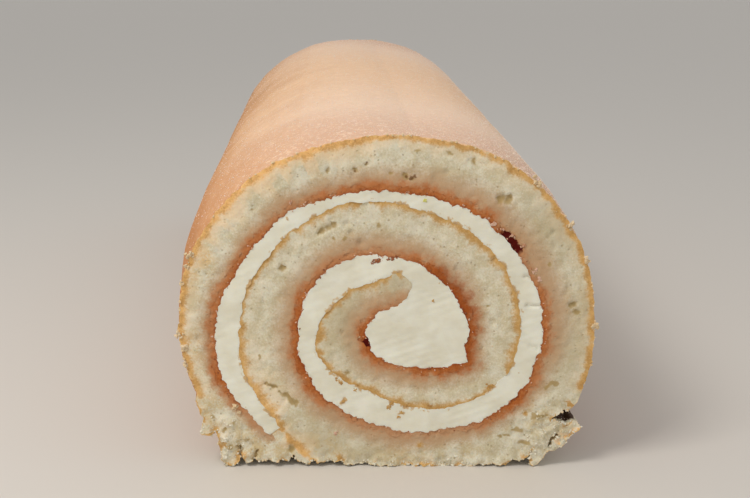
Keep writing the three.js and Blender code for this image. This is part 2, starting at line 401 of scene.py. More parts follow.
def outside_line(y):
    """Round the whole outside: over the top, down the left corner, along the base, up the flap."""
    over = outside(over_angles, y)
    outwards = (over - EYE) / np.linalg.norm(over - EYE, axis=1)[:, None]
    over = over + outwards * skin_relief(over, y)[:, None]
    base = even(TORN_BASE)
    ragged = 0.5 * rough(in_space(base, y), 1.0, 12) + 0.1
    base[:, 1] = np.maximum(base[:, 1] + ragged, 0) * tear(y)
    left = torn(TORN_LEFT, TUCK_TOP, TUCK_BOTTOM, y)
    flap = torn(TORN_FLAP, FLAP_BOTTOM, FLAP_TOP, y)
    return np.concatenate([over, left, base, flap])


print("the outside is", len(outside_line(0)), "points round")

# %% [markdown]
# ## Fill a cut face
# A cut face needs small, even triangles, or its pores and crumbs can't be modelled. The grid fill of
# Blender wants four sides, and a spiral has none. So loose points are laid inside the line in a
# jittered honeycomb, and a Delaunay triangulation joins them to the line.

# %% Find what is inside a line, and what is nearest to a point
def inside(points, line):
    """Which points lie within a closed line: they cross it an odd number of times going right."""
    ahead = np.roll(line, -1, axis=0)
    result = np.zeros(len(points), bool)
    for start in range(0, len(points), 2000):
        x, z = (points[start:start + 2000, k, None] for k in (0, 1))
        spans = (line[:, 1] > z) != (ahead[:, 1] > z)
        rise = np.where(ahead[:, 1] == line[:, 1], 1, ahead[:, 1] - line[:, 1])
        crossing = line[:, 0] + (z - line[:, 1]) * (ahead[:, 0] - line[:, 0]) / rise
        result[start:start + 2000] = np.logical_and(spans, x < crossing).sum(axis=1) % 2 == 1
    return result


def tree_of(points):
    tree = kdtree.KDTree(len(points))
    for i, (x, z) in enumerate(points):
        tree.insert((x, z, 0), i)
    tree.balance()
    return tree


def nearest(tree, points):
    """Number of the nearest point in a tree, and the distance to it, for each point."""
    found = [tree.find((x, z, 0))[1:] for x, z in points]
    return np.array([f[0] for f in found]), np.array([f[1] for f in found])


square = np.array([(0, 0), (5, 0), (5, 5), (0, 5)], float)
print("inside a square:", inside(np.array([(2.0, 2.0), (7.0, 2.0)]), square).tolist())


# %% Points and triangles inside a closed line
def fill(lines, spacing, seed):
    """Fills the first line, leaving out the others. Returns points and triangles."""
    rim = np.concatenate(lines)
    low, high = rim.min(axis=0), rim.max(axis=0)
    rows = np.arange(low[1], high[1], spacing * math.sqrt(3) / 2)
    columns = np.arange(low[0], high[0], spacing)
    grid = np.stack(np.meshgrid(columns, rows), axis=-1)
    grid[1::2, :, 0] += spacing / 2
    grid = grid.reshape(-1, 2)
    grid = grid + np.random.default_rng(seed).uniform(-0.22, 0.22, grid.shape) * spacing
    within = inside(grid, lines[0])
    for hole in lines[1:]:
        within &= ~inside(grid, hole)
    grid = grid[within]
    grid = grid[nearest(tree_of(rim), grid)[1] > spacing * 0.55]

    points = np.concatenate([rim, grid])
    edges, first = [], 0
    for line in lines:
        edges += [(first + i, first + (i + 1) % len(line)) for i in range(len(line))]
        first += len(line)
    made, _, triangles, origin, _, _ = delaunay_2d_cdt([Vector(p) for p in points], edges, [], 0, 1e-7)
    if len(made) != len(points):
        raise ValueError(f"a line crosses itself: {len(made) - len(points)} new points")
    number = np.array([o[0] for o in origin])
    triangles = number[np.array([list(t) for t in triangles])]
    centres = points[triangles].mean(axis=1)
    kept = inside(centres, lines[0])
    for hole in lines[1:]:
        kept &= ~inside(centres, hole)
    triangles = triangles[kept]
    a, b, c = (points[triangles[:, k]] for k in range(3))
    area = (b[:, 0] - a[:, 0]) * (c[:, 1] - a[:, 1]) - (b[:, 1] - a[:, 1]) * (c[:, 0] - a[:, 0])
    triangles[area < 0] = triangles[area < 0][:, ::-1]
    return points, triangles


print("a square of 5 mm takes", len(fill([square], 1.0, seed=1)[1]), "triangles of about 1 mm")

# %% [markdown]
# ## From lines to a solid
# One function makes all three layers. It skins the lines along the roll, fills both ends, and
# then presses each end's points in and out by a relief, so that the cut is real geometry.
# The line round the outside runs anticlockwise and a line round a hollow clockwise, which keeps all
# faces pointing outwards.

# %% Sections along the roll, and the walls between them
def turn_round(line):
    """Puts a closed line into anticlockwise order."""
    ahead = np.roll(line, -1, axis=0)
    area = (line[:, 0] * ahead[:, 1] - ahead[:, 0] * line[:, 1]).sum()
    return line if area > 0 else line[::-1]


def wall(sections):
    """Faces with four corners between each section and the next. A section is its first point, its size."""
    faces = []
    for (near, size), (far, _) in zip(sections, sections[1:]):
        i = np.arange(size)
        j = (i + 1) % size
        faces += np.stack([near + i, far + i, far + j, near + j], axis=-1).tolist()
    return faces


def spaced(steps):
    """Places along the roll from one end to the other, close together near both ends."""
    inward = np.concatenate([[0], np.cumsum(steps)])
    inward = inward[inward < LENGTH / 2 - 1]
    return np.concatenate([inward - LENGTH / 2, (LENGTH / 2 - inward)[::-1]]).tolist()


SKIN_PLACES = spaced([0.6, 0.6, 0.7, 0.8, 0.9, 1.0, 1.2, 1.4, 1.8, 2.2, 2.8, 3.6] + [5.0] * 20)  # mm
INNER_PLACES = SKIN_PLACES[:2] + SKIN_PLACES[8:-8:8] + SKIN_PLACES[-2:]
print(len(SKIN_PLACES), "sections along the skin,", len(INNER_PLACES), "inside")


# %% Build a layer of the roll
def layer(name, lines, spacing, relief):
    """A closed mesh between two cut faces.

    Each line is a function of the place along the roll, with the places it is made at. The first goes
    round the outside, the others round hollows. relief(points, y) says how far a cut face's points
    are pressed in. Returns the object, the number of triangles in its cut faces, the number of the
    line behind each further face, each point's (x, z), and the end it is at (-1, 1, or 0 between).
    """
    spots, flats, ends, faces, walls = [], [], [], [], []
    rings = [[] for _ in lines]
    first = 0
    all_places = lines[0][1]
    for y in all_places:
        loops, start = [], first
        for number, (maker, places) in enumerate(lines):
            if y in places:
                loop = turn_round(maker(y))
                loops.append(loop[::-1] if number else loop)
                rings[number].append((start, len(loop)))
                start += len(loop)
        end = -1 if y == all_places[0] else 1 if y == all_places[-1] else 0
        points = np.concatenate(loops)
        depth = np.zeros(len(points))
        if end:
            points, triangles = fill(loops, spacing, seed=500 + end)
            depth = relief(points, y)
            faces += ((triangles if end < 0 else triangles[:, ::-1]) + first).tolist()
        skewed = y * (1 + CUT_SKEW * points[:, 0] * 2 / LENGTH) - end * depth
        spots.append(np.column_stack([points[:, 0], skewed, points[:, 1]]))
        flats.append(points)
        ends.append(np.full(len(points), end))
        first += len(points)
    cut_count = len(faces)
    for number, sections in enumerate(rings):
        made = wall(sections)
        faces += made
        walls += [number] * len(made)

    mesh = bpy.data.meshes.new(name)
    mesh.from_pydata((np.concatenate(spots) * MM).tolist(), [], faces)
    mesh.polygons.foreach_set("use_smooth", [True] * len(faces))
    mesh.set_sharp_from_angle(angle=math.radians(55))
    piece = put(name, mesh)
    triangle_count = sum(len(p.vertices) - 2 for p in mesh.polygons)
    print(name, "has", len(mesh.vertices), "points and", triangle_count, "triangles")
    return piece, cut_count, walls, np.concatenate(flats), np.concatenate(ends)


print("each layer runs", LENGTH, "mm, from one cut face to the other")

# %% [markdown]
# ## How the crumb and the pores are cut
# Sponge is a foam. A knife opens its bubbles: many finer than half a millimetre, some of one or
# two. The larger ones are modelled as little bowls in the cut face, the biggest where the near end
# has them and the rest at random, and the fine foam is left to the material's bump. More named lists
# hold what else breaks the even crumb of the near end: spots painted with the named pores' painted
# shade but with no bowl, small pits painted dark as painted shade, cracks, olive-brown streaks, places
# where the crumb is painted darker, and places where it is more golden than elsewhere.

# %% Named places in the cut crumb
NEAR_PORES = [(-12.3, 46.3, 0.9), (-11.2, 46.8, 0.7), (-10.2, 47.3, 0.7), (-19.5, 39.2, 0.8),
              (20.2, 52.3, 0.9), (21.6, 52.1, 0.95), (34.0, 32.2, 0.9), (34.9, 30.8, 0.7),
              (-6.0, 57.5, 0.6), (-4.0, 58.6, 0.6), (3.0, 56.3, 0.7), (4.2, 55.9, 0.5),
              (0.2, 56.9, 0.4), (-7.6, 18.8, 0.6), (-18.3, 3.6, 0.8), (15.0, 59.2, 0.6),
              (-24.6, 50.4, 0.5), (18.4, 32.0, 0.5), (11.0, 60.6, 0.5), (-10.9, 57.6, 0.5)]  # x, z, radius
# SHADED_SPOTS take the named pores' painted shade, with no bowl.
SHADED_SPOTS = [(27.7, 10.3, 0.8), (24.5, 7.5, 0.7), (-18.2, 13.6, 0.7), (-17.2, 12.8, 0.7),
                 (-22.0, 16.3, 0.5), (-10.0, 44.8, 0.5), (-24.0, 22.0, 0.5), (-2.0, 47.5, 0.5),
                 (10.4, 48.5, 0.5), (29.5, 40.0, 0.6), (5.1, 61.0, 0.5), (-8.0, 44.9, 0.5),
                 (-31.0, 7.5, 0.6), (-30.2, 4.0, 0.7), (-27.0, 5.5, 0.5), (-33.2, 10.0, 0.5),
                 (-29.2, 9.0, 0.5)]  # x, z, radius
# PITS are small holes that are only painted dark, as painted shade.
PITS = [(3.2, 56.3, 0.33), (3.9, 56.0, 0.36), (4.6, 56.3, 0.3), (-6.0, 57.4, 0.3), (-4.0, 58.7, 0.24),
        (10.3, 58.7, 0.22)]  # small dark holes: x, z, radius
NEAR_CRACKS = [((-22.9, 16.9), (-20.4, 14.9), 0.32, 0.35), ((-19.6, 14.7), (-17.6, 12.4), 0.38, 0.4),
               ((30.7, 4.9), (32.1, 6.6), 0.24, 1.4), ((30.6, 4.2), (30.8, 5.2), 0.3, 1.2),
               ((-28.5, 4.2), (-28.0, 2.6), 0.35, 0.8),
               ((-25.6, 1.6), (-24.9, 3.2), 0.25, 0.6)]  # from, to, half width, depth
STREAKS = [((23.5, 7.5), (25.4, 7.2), 0.3), ((20.8, 6.0), (23.0, 6.3), 0.25),
           ((24.8, 4.8), (26.7, 4.7), 0.35), ((29.7, 16.0), (30.5, 17.0), 0.3),
           ((30.5, 17.0), (31.8, 16.7), 0.3), ((27.2, 10.3), (29.8, 10.4), 0.25)]  # from, to, half width
# DARKER_PLACES are places where the crumb is painted darker.
DARKER_PLACES = [(-7.0, 29.5, 5.0, 0.9), (-5.5, 23.5, 4.0, 0.6), (1.0, 36.0, 3.5, 0.7),
                (31.0, 47.5, 6.0, 0.8), (33.0, 24.0, 5.5, 0.7), (37.0, 32.0, 4.0, 0.6),
                (22.5, 42.0, 3.5, 0.5), (-12.0, 5.5, 5.0, 0.6), (-2.0, 5.0, 4.0, 0.5),
                (-14.0, 36.0, 3.0, 0.4)]  # x, z, radius, how much darker
GOLDEN_PLACES = [(-33.5, 11.0, 4.0, 0.45), (-30.0, 3.5, 4.5, 0.3), (-22.0, 4.0, 5.0, 0.4),
                 (-37.5, 24.0, 3.5, 0.5), (-33.4, 41.3, 1.3, 0.9), (-31.9, 48.8, 1.0, 0.8),
                 (-37.0, 39.0, 3.5, 0.5), (-12.0, 1.5, 4.0, 0.4), (2.0, 1.0, 4.0, 0.3),
                 (15.0, 1.0, 4.0, 0.3), (28.0, 10.0, 3.0, 0.3)]  # x, z, radius, how golden the crumb is
PORE_COUNT, PORE_SIZES = 150, (0.3, 0.55)  # further pores, laid at random, and their radii in mm
PORE_DEPTH, DEEPEST_PORE = 0.55, 0.55  # as a share of the radius, and in mm
LEFT_TEAR_AT, RIGHT_TEAR_AT, TEAR_SPREAD = (-32.0, 4.0), (31.0, 6.0), 8.0  # mm
print(len(NEAR_PORES), "named pores,", len(PITS), "pits and", len(NEAR_CRACKS), "cracks at the near end")


# %% Relief of the cut crumb
def bowls(points, centres, radii):
    """0 to 1: how deep each point lies in the nearest of many uneven bowls."""
    uneven = points + 0.5 * np.stack([rough(points, 1.2, 46), rough(points, 1.2, 47)], axis=-1)
    number, distance = nearest(tree_of(centres), uneven)
    return np.clip(1.15 - (distance / radii[number]) ** 2, 0, 1)


def cut_wave(points, y):
    """How far the knife wandered, in mm. All layers share it, so that none stands out."""
    return 0.35 * rough(points, 14.0, 40 if y < 0 else 60, 2)


def near_segment(points, start, end):
    """Distance of each point to a straight stretch."""
    start, end = np.array(start), np.array(end)
    along = np.clip(((points - start) @ (end - start)) / ((end - start) @ (end - start)), 0, 1)
    return np.linalg.norm(points - start - along[:, None] * (end - start), axis=1)


def pores_at(y):
    """Centres and radii of the pores in the cut face at one end."""
    chance = np.random.default_rng(31 if y < 0 else 32)
    low, high = np.array([-41, 0]), np.array([41, 66])
    centres = chance.uniform(low, high, (PORE_COUNT, 2))
    radii = chance.uniform(*PORE_SIZES, PORE_COUNT) * chance.uniform(0.6, 1.2, PORE_COUNT)
    named = np.array(NEAR_PORES)
    if y > 0:
        named = named * [-0.8, 0.9, 1] + [8, 4, 0]
    return np.concatenate([centres, named[:, :2]]), np.concatenate([radii, named[:, 2]])


def torn_share(points):
    """0 to 1: how near points of a cut face are to the torn corners and the torn base."""
    left = np.linalg.norm(points - LEFT_TEAR_AT, axis=1) / TEAR_SPREAD
    right = np.linalg.norm(points - RIGHT_TEAR_AT, axis=1) / TEAR_SPREAD
    return np.clip(1.3 - np.minimum(np.minimum(left, right), points[:, 1] / 2.5), 0, 1)


def crumb_relief(points, y):
    side = 0 if y < 0 else 20
    coarse = 0.1 * rough(points, 2.4, 41 + side, 2)
    fine = 0.14 * rough(points, 1.0, 42 + side, 3)
    ragged = torn_share(points) * (0.7 * rough(points, 2.6, 43 + side) + 0.38 * rough(points, 0.9, 45 + side))
    centres, radii = pores_at(y)
    holes = bowls(points, centres, radii)
    bowl_depth = np.minimum(radii[nearest(tree_of(centres), points)[0]] * PORE_DEPTH, DEEPEST_PORE)
    pressed = 0.25 + cut_wave(points, y) + coarse + fine + ragged + holes * bowl_depth
    if y < 0:
        for start, end, width, depth in NEAR_CRACKS:
            wandering = near_segment(points + 0.3 * rough(points, 1.2, 44)[:, None], start, end)
            pressed += depth * np.clip(1.2 - (wandering / width) ** 2, 0, 1)
    return pressed


named_depths = crumb_relief(np.array(NEAR_PORES)[:, :2], -LENGTH / 2)
print("the named pores lie", named_depths.min().round(2), "to", named_depths.max().round(2), "mm deep")

# %% [markdown]
# ## The sponge
# On the real cake this is one sheet of baked foam with a thin golden skin. Where the tucked
# edge closes on the turn before it, the two have stuck together, so the sponge is one piece: the
# outside line, and within it the hollow that the fillings take up.
# Each point remembers how far it is from a browned face and from the jam. The material turns these
# distances into the golden line and the stain of the jam.

# %% Where a cut face is browned, and where its jam is
BROWN_WIDTH_SEAM, BROWN_WIDTH_BASE = 0.5, 0.9  # mm
BROWN_WIDTH_INSIDE = np.array([(104, 1.0), (240, 0.9), (340, 1.1), (365, 1.4), (410, 1.3), (450, 1.05),
                               (540, 1.05), (560, 1.4), (604, 1.4)])  # winding, mm
BROWN_WIDTH_OUTSIDE = np.array([(-20, 0.9), (0, 0.7), (30, 0.8), (55, 0.8), (80, 0.58), (100, 0.58),
                                (125, 0.8), (145, 0.85), (165, 0.65), (196, 0.9)])  # angle, mm
BROWN_DEPTH = 0.35  # mm that the deepest brown lies under the skin's surface
PALE_BROWN_FROM = np.array([(-20, 0.2), (60, 0.3), (90, 0.5), (115, 0.9), (145, 1.0), (165, 0.5),
                            (196, 0.4)])  # angle, how pale and golden the brown is
BROWN_GAPS = [(109.5, 2.2), (331, 6), (470.5, 1.4)]  # windings with no skin, and their half widths
SEAM_END = 604.0  # winding where the closed seam fades out
BROWNED_SPOTS = [(-31.2, 4.6, 0.6), (-20.4, 8.8, 0.8), (-33.2, 6.8, 0.4), (-9.5, 1.6, 1.0), (32.4, 11.0, 1.0),
                 (34.4, 12.4, 1.2), (31.4, 9.9, 0.6), (-31.6, 49.4, 0.5), (6.0, 4.5, 0.6),
                 (25.9, 10.7, 0.5)]  # x, z, width
PEACH_SPOTS = [(32.6, 4.6, 0.4), (33.8, 5.8, 0.5), (35.3, 7.1, 0.5), (36.2, 7.7, 0.4)]  # skin on the flap


def browned_places(y):
    """Points along the browned faces that show in a cut face, and how wide the browning is there."""
    inner = even_windings(SHEET_START, SEAM_END, crust_radius, 0.3)
    clean = at_eye(inner, crust_radius(inner))
    width = np.interp(inner, *BROWN_WIDTH_INSIDE.T)
    width = width * (1 + 0.6 * rough(clean, 4.0, 50) + 0.6 * rough(clean, 1.2, 54))
    broken = BROWN_WIDTH_SEAM * np.clip(0.8 + 3.0 * rough(clean, 2.0, 53), 0.05, 1.8)
    width = np.where(inner > SEAM_START, broken, width)
    for at, half in BROWN_GAPS:
        width = width * (1 - np.exp(-((inner - at) / half) ** 4))
    over = outside_line(y)[: len(over_angles)]
    over = over - BROWN_DEPTH * (over - EYE) / np.linalg.norm(over - EYE, axis=1)[:, None]
    over_width = np.interp(over_angles, *BROWN_WIDTH_OUTSIDE.T)
    over_width = over_width * (1 + 0.6 * rough(over, 3.5, 51) + 0.6 * rough(over, 1.2, 55))
    base = outside_line(y)[len(over_angles):]
    base_width = BROWN_WIDTH_BASE * np.clip(2.2 * rough(base, 3.0, 52) - 0.1, 0.02, 1.2)
    spots = np.array(BROWNED_SPOTS + PEACH_SPOTS if y < 0 else BROWNED_SPOTS[:1])
    points = np.concatenate([browned_line(inner, y), over, base, spots[:, :2]])
    inner_pale = np.interp(inner, [535, 560], [0.1, 0.5])  # the seam is as golden as the outside
    over_pale = np.interp(over_angles, *PALE_BROWN_FROM.T)
    outer = np.concatenate([inner_pale, over_pale, np.full(len(base), 0.3), np.zeros(len(spots))])
    if y < 0:
        outer[-len(PEACH_SPOTS):] = 1.0
    return points, np.concatenate([width, over_width, base_width, spots[:, 2]]), outer


def jammed_places(y):
    """Points along the jam's line: how much jam there is, how far it soaked, how much is a wet lump."""
    winding = even_windings(SHEET_START, SPREAD_END, spread_radius, 0.3)
    return spread_line(winding, y), jam_amount(winding), np.interp(winding, *SOAKED_TO.T), lump(winding)


print(len(jammed_places(-LENGTH / 2)[0]), "places along the jam of a cut face")

# %% Keep numbers on a piece's points
BOTH_ENDS = ((-1, -LENGTH / 2), (1, LENGTH / 2))
JUST_BEHIND = 7.0  # mm


def keep(piece, name, values):
    """Stores one number a point on a piece, for its material."""
    piece.data.attributes.new(name, "FLOAT", "POINT").data.foreach_set("value", values.astype(np.float32))


def spots_of(piece):
    """All points of a piece, in mm."""
    values = np.zeros(len(piece.data.vertices) * 3)
    piece.data.vertices.foreach_get("co", values)
    return values.reshape(-1, 3) / MM


def at_end(piece, end):
    """Which of a piece's points are in, or less than some millimetres behind, one cut face."""
    return spots_of(piece)[:, 1] * end > LENGTH / 2 - JUST_BEHIND


def remember_browning(piece, flats):
    """Browning is 0 at a browned face and 1 where it has faded out."""
    browning, outer_skin = np.full(len(flats), 9.0), np.ones(len(flats))
    for end, y in BOTH_ENDS:
        here = at_end(piece, end)
        points, width, outer = browned_places(y)
        number, distance = nearest(tree_of(points), flats[here])
        browning[here] = distance / np.maximum(width[number], 0.05)
        outer_skin[here] = outer[number]
    keep(piece, "browning", browning)
    keep(piece, "outer_skin", outer_skin)


print("a point keeps its numbers up to", JUST_BEHIND, "mm behind a cut face")


# %% Keep what the jam, the pores and the named places do
def remember_jam(piece, flats):
    """The distance to the jam's line in mm, how much jam there is, how far it soaked, how wet it is."""
    names = ["jam_distance", "jam_amount", "soaked_to", "wet"]
    kept = np.zeros((4, len(flats))) + np.array([[9.0], [0.0], [5.0], [0.0]])
    for end, y in BOTH_ENDS:
        here = at_end(piece, end)
        line, amount, soaked_to, wet = jammed_places(y)
        number, distance = nearest(tree_of(line), flats[here])
        outwards = np.linalg.norm(flats[here] - EYE, axis=1) - np.linalg.norm(line[number] - EYE, axis=1)
        away = np.where(outwards > -0.3, distance, 9.0)  # jam soaks outwards, not across the cream
        kept[:, here] = away, amount[number], soaked_to[number], wet[number]
    for name, values in zip(names, kept):
        keep(piece, name, values)


def remember_pores(piece, flats):
    """How hollow, how much pit shade is painted, how much darker and how golden the crumb is, each from 0 to
    1.
    """
    named = np.array(NEAR_PORES + SHADED_SPOTS)
    here = at_end(piece, -1)
    hollow = np.zeros(len(flats))
    hollow[here] = bowls(flats[here], named[:, :2], named[:, 2])
    uneven = flats[here] + 0.4 * rough(flats[here], 1.2, 44)[:, None]
    for start, end, width in STREAKS + [crack[:3] for crack in NEAR_CRACKS]:
        hollow[here] = np.maximum(hollow[here], 1.2 - (near_segment(uneven, start, end) / width / 1.2) ** 2)
    keep(piece, "hollow", np.minimum(hollow, 1))
    dark = np.zeros(len(flats))
    for x, z, radius in PITS:
        distance = np.linalg.norm(flats[here] - [x, z], axis=1)
        dark[here] = np.maximum(dark[here], np.clip(1.3 - (distance / radius) ** 2, 0, 1))
    keep(piece, "pits", dark)
    for name, places in (("darkened", DARKER_PLACES), ("golden", GOLDEN_PLACES)):
        share_here = sum(share * np.exp(-(((flats - [x, z]) ** 2).sum(axis=1)) / radius**2)
                         for x, z, radius, share in places)
        keep(piece, name, np.clip(share_here, 0, 1))


print(len(DARKER_PLACES), "dense and", len(GOLDEN_PLACES), "golden places")

# %% Make the sponge
sponge_lines = [(outside_line, SKIN_PLACES), (hollow_line, INNER_PLACES)]
sponge, cut_count, walls, flats, ends = layer("sponge_sheet", sponge_lines, 0.43, crumb_relief)
remember_browning(sponge, flats)
remember_jam(sponge, flats)
remember_pores(sponge, flats)

CRUMB_SLOT, SKIN_SLOT = 0, 1
slots_of_faces = [CRUMB_SLOT] * cut_count + [SKIN_SLOT if number == 0 else CRUMB_SLOT for number in walls]
sponge.data.polygons.foreach_set("material_index", slots_of_faces)
print(slots_of_faces.count(SKIN_SLOT), "faces are skin and", slots_of_faces.count(CRUMB_SLOT), "crumb")

# %% [markdown]
# ## Bare crumb, and the gap over the flap
# Where a corner tore there is no skin. Bare crumb runs in from the cut face there, and further in
# the skin closes over it. Above the hanging flap the tear gapes, and little light reaches its inner
# end. So each point keeps how bare it is, and how far it lies in that gap, whose walls the skin's
# material paints near-black as painted shade.

# %% Keep the bare crumb and the gap
GAP_CORNERS = [(34.4, 9.1), (34.5, 11.9)]  # where the gap over the flap begins and ends on the torn edge
GAP_CLOSES = (3.5, 8.5)  # mm behind the cut face
TORN_ANGLES = (197, 341)  # degrees round the eye, between which there are tears

spot = spots_of(sponge)
inward_distance = LENGTH / 2 - np.abs(spot[:, 1])
angle_round = np.degrees(np.arctan2(spot[:, 2] - EYE[1], spot[:, 0] - EYE[0])) % 360
torn_zone = (angle_round > TORN_ANGLES[0]) & (angle_round < TORN_ANGLES[1])
reach = np.where(spot[:, 1] > 0, TORN_REACH * FAR_TEAR, TORN_REACH)
bare = np.where(torn_zone, np.clip(1.1 - inward_distance / reach, 0, 1), 0)
keep(sponge, "bare", bare)
keep(sponge, "from_end", inward_distance)
flap_line = even(TORN_FLAP, TORN_STEP)
first, last = nearest(tree_of(flap_line), GAP_CORNERS)[0]
closed_line = whole_line(len(flap_line), FLAP_BOTTOM, FLAP_TOP, -LENGTH / 2)
open_share = np.clip(1 - (inward_distance / TORN_REACH) ** 2, 0, 1)[:, None]
to_gap = np.min([np.linalg.norm(spot[:, [0, 2]] - closed - (open_at - closed) * open_share, axis=1)
                 for open_at, closed in zip(flap_line[first:last + 1], closed_line[first:last + 1])], axis=0)
in_pocket = np.clip(1.6 - to_gap, 0, 1) * np.clip(inward_distance / 0.8, 0, 1) * (spot[:, 1] < 0)
in_pocket *= 1 - np.clip((inward_distance - GAP_CLOSES[0]) / (GAP_CLOSES[1] - GAP_CLOSES[0]), 0, 1)
print("points in the gap over the flap:", int((in_pocket > 0.5).sum()))
# The pocket share is where the skin's material paints the gap's walls near-black, as painted shade.
keep(sponge, "pocket", in_pocket)
print("points on the torn crumb:", int((bare > 0.3).sum()))

# %% [markdown]
# ## The jam and the buttercream
# Both run through the whole roll. The jam lies a little lower than the crumb, because the knife
# dragged it out, and only its lumps are wet. The buttercream is firm from the fridge: the knife left
# it nearly flat, with faint drag marks, a few cracks across it and some crumbs pressed in. Golden
# crumb was dragged onto it, in patches beside the browned face and in a few named smears.

# %% Make the jam
def jam_relief(points, y):
    line, _, _, wet = jammed_places(y)
    wet = wet[nearest(tree_of(line), points)[0]]
    dry = 0.14 * rough(points, 1.3, 60) + 0.16 * rough(points, 0.7, 61)
    return 0.25 + cut_wave(points, y) + dry + 0.2 * wet


jam, _, _, jam_flats, jam_ends = layer("jam_spiral", [(jam_line, INNER_PLACES)], 0.36, jam_relief)
remember_jam(jam, jam_flats)

# %% Make the buttercream
CREAM_CRACKS = [((25.0, 37.6), (29.0, 36.8), 0.22), ((25.2, 32.2), (28.6, 31.8), 0.2),
                ((26.4, 24.5), (27.6, 23.6), 0.3)]  # from, to, half width
DRAG_DIRECTION = 20.0  # degrees above +X that the knife moved in
RIB_WIDTH = 1.3  # mm between the faint ribs that the knife's shudder left


def cream_relief(points, y):
    turn = math.radians(DRAG_DIRECTION)
    along = points @ [math.cos(turn), math.sin(turn)]
    across = points @ [-math.sin(turn), math.cos(turn)]
    drag = rough(np.column_stack([along / 9, across]), 0.8, 70, 2)
    ribs = np.sin(across / RIB_WIDTH * 2 * math.pi) * np.clip(3 * rough(points, 9.0, 74, 2), 0, 1)
    swells = 0.14 * rough(points, 6.0, 71, 2) + 0.07 * rough(points, 1.8, 72, 2)
    pressed = 0.2 + cut_wave(points, y) + swells + 0.05 * drag + 0.035 * ribs
    for start, end, width in CREAM_CRACKS:
        if y < 0:
            wandering = near_segment(points + 0.25 * rough(points, 1.0, 73)[:, None], start, end)
            pressed += 0.35 * np.clip(1.2 - (wandering / width) ** 2, 0, 1)
    return pressed


DRAGGED_CRUMBS = [(0.6, 12.9, 0.9), (0.1, 12.0, 0.7), (3.2, 12.3, 0.8), (2.5, 11.1, 0.8),
                  (1.9, 10.1, 0.7), (-8.4, 13.2, 0.9), (-8.9, 16.9, 0.8), (-5.8, 16.6, 0.8),
                  (-7.4, 17.4, 0.7), (13.0, 13.4, 0.7), (9.2, 12.1, 0.6), (18.9, 16.2, 1.0),
                  (17.8, 15.9, 0.8), (-18.5, 48.6, 0.5)]  # x, z, radius


def remember_dragged(piece, flats):
    """How much golden crumb the rolling and the knife have dragged onto the cream, 0 to 1."""
    dragged = np.zeros(len(flats))
    for end, y in BOTH_ENDS:
        here = at_end(piece, end)
        points = flats[here]
        beside = np.clip(1.1 - nearest(tree_of(browned_line(crust_windings, y)), points)[1] / 0.8, 0, 1)
        patchy = np.clip(0.15 + 2.4 * rough(points, 2.0, 75), 0, 1)
        smears = np.array(DRAGGED_CRUMBS)
        if y > 0:
            smears = smears * [-0.8, 1, 1] + [8, 0, 0]
        crumbly = np.clip(0.7 + 2.2 * rough(points, 0.9, 76), 0, 1)
        dragged[here] = np.maximum(beside * patchy, bowls(points, smears[:, :2], smears[:, 2]) * crumbly)
    keep(piece, "dragged", dragged)


cream, _, _, cream_flats, cream_ends = layer("buttercream_spiral", [(cream_line, INNER_PLACES)], 0.46,
                                             cream_relief)
remember_dragged(cream, cream_flats)

# %% [markdown]
# ## Nodes that more than one material uses
# A maker's cake has one crumb: the same foam shows in the clean cut, under the jam's stain, where
# the skin is torn, and in every loose crumb. So the foam is one node group with named sockets,
# placed in each material with its own grain. The stain of the jam is a second group, because it
# has to look the same on the jam's own layer and on the crumb beside it, and sugar dust a third.

# %% Add a node, and reckon with what comes out of it
def add(tree, kind, inputs=None, **settings):
    """Adds a node, sets its settings, and sets or links its inputs by name or number."""
    made = tree.nodes.new(kind)
    for key, value in settings.items():
        setattr(made, key, value)
    for key, value in (inputs or {}).items():
        if isinstance(value, bpy.types.NodeSocket):
            tree.links.new(value, made.inputs[key])
        else:
            made.inputs[key].default_value = value
    return made


def combine(tree, operation, a, b, clamp=False):
    """A Math node's output."""
    return add(tree, "ShaderNodeMath", {0: a, 1: b}, operation=operation, use_clamp=clamp).outputs[0]


def times(tree, a, b):
    return combine(tree, "MULTIPLY", a, b)


def plus(tree, a, b, clamp=False):
    return combine(tree, "ADD", a, b, clamp)


def minus(tree, a, b):
    return combine(tree, "SUBTRACT", a, b)


def fade(tree, value, start, end):
    """1 below start, 0 above end, and smooth between."""
    made = add(tree, "ShaderNodeMapRange", {"Value": value, 1: start, 2: end, 3: 1.0, 4: 0.0},
               interpolation_type="SMOOTHSTEP")
    return made.outputs[0]


def rise(tree, value, start, end):
    """0 below start, 1 above end, and smooth between."""
    return minus(tree, 1.0, fade(tree, value, start, end))


def about_middle(tree, value, width):
    """A noise of 0 to 1, moved so that its middle is 0, and scaled."""
    return times(tree, minus(tree, value, 0.5), width)


trial = bpy.data.node_groups.new("trial", "ShaderNodeTree")
print("a fade takes", len([rise(trial, 0.5, 0.0, 1.0)]), "socket and", len(trial.nodes), "nodes")
bpy.data.node_groups.remove(trial)


# %% Colours
def blend(tree, factor, a, b):
    """A colour between two colours."""
    made = tree.nodes.new("ShaderNodeMix")
    made.data_type = "RGBA"
    for socket, value in zip((made.inputs[0], made.inputs[6], made.inputs[7]), (factor, a, b)):
        if isinstance(value, bpy.types.NodeSocket):
            tree.links.new(value, socket)
        else:
            socket.default_value = value
    return made.outputs[2]


def srgb(red, green, blue):
    """A colour from its three values of 0 to 255, as light."""
    values = [v / 255 for v in (red, green, blue)]
    return tuple(((v + 0.055) / 1.055) ** 2.4 if v > 0.04045 else v / 12.92 for v in values) + (1.0,)


print("middle grey is", round(srgb(128, 128, 128)[0], 3), "of white's light")


# %% Textures, attributes and bumps
def place_on(tree):
    """Each point's place on its piece, in metres, whatever way the piece is turned."""
    return add(tree, "ShaderNodeTexCoord").outputs["Object"]


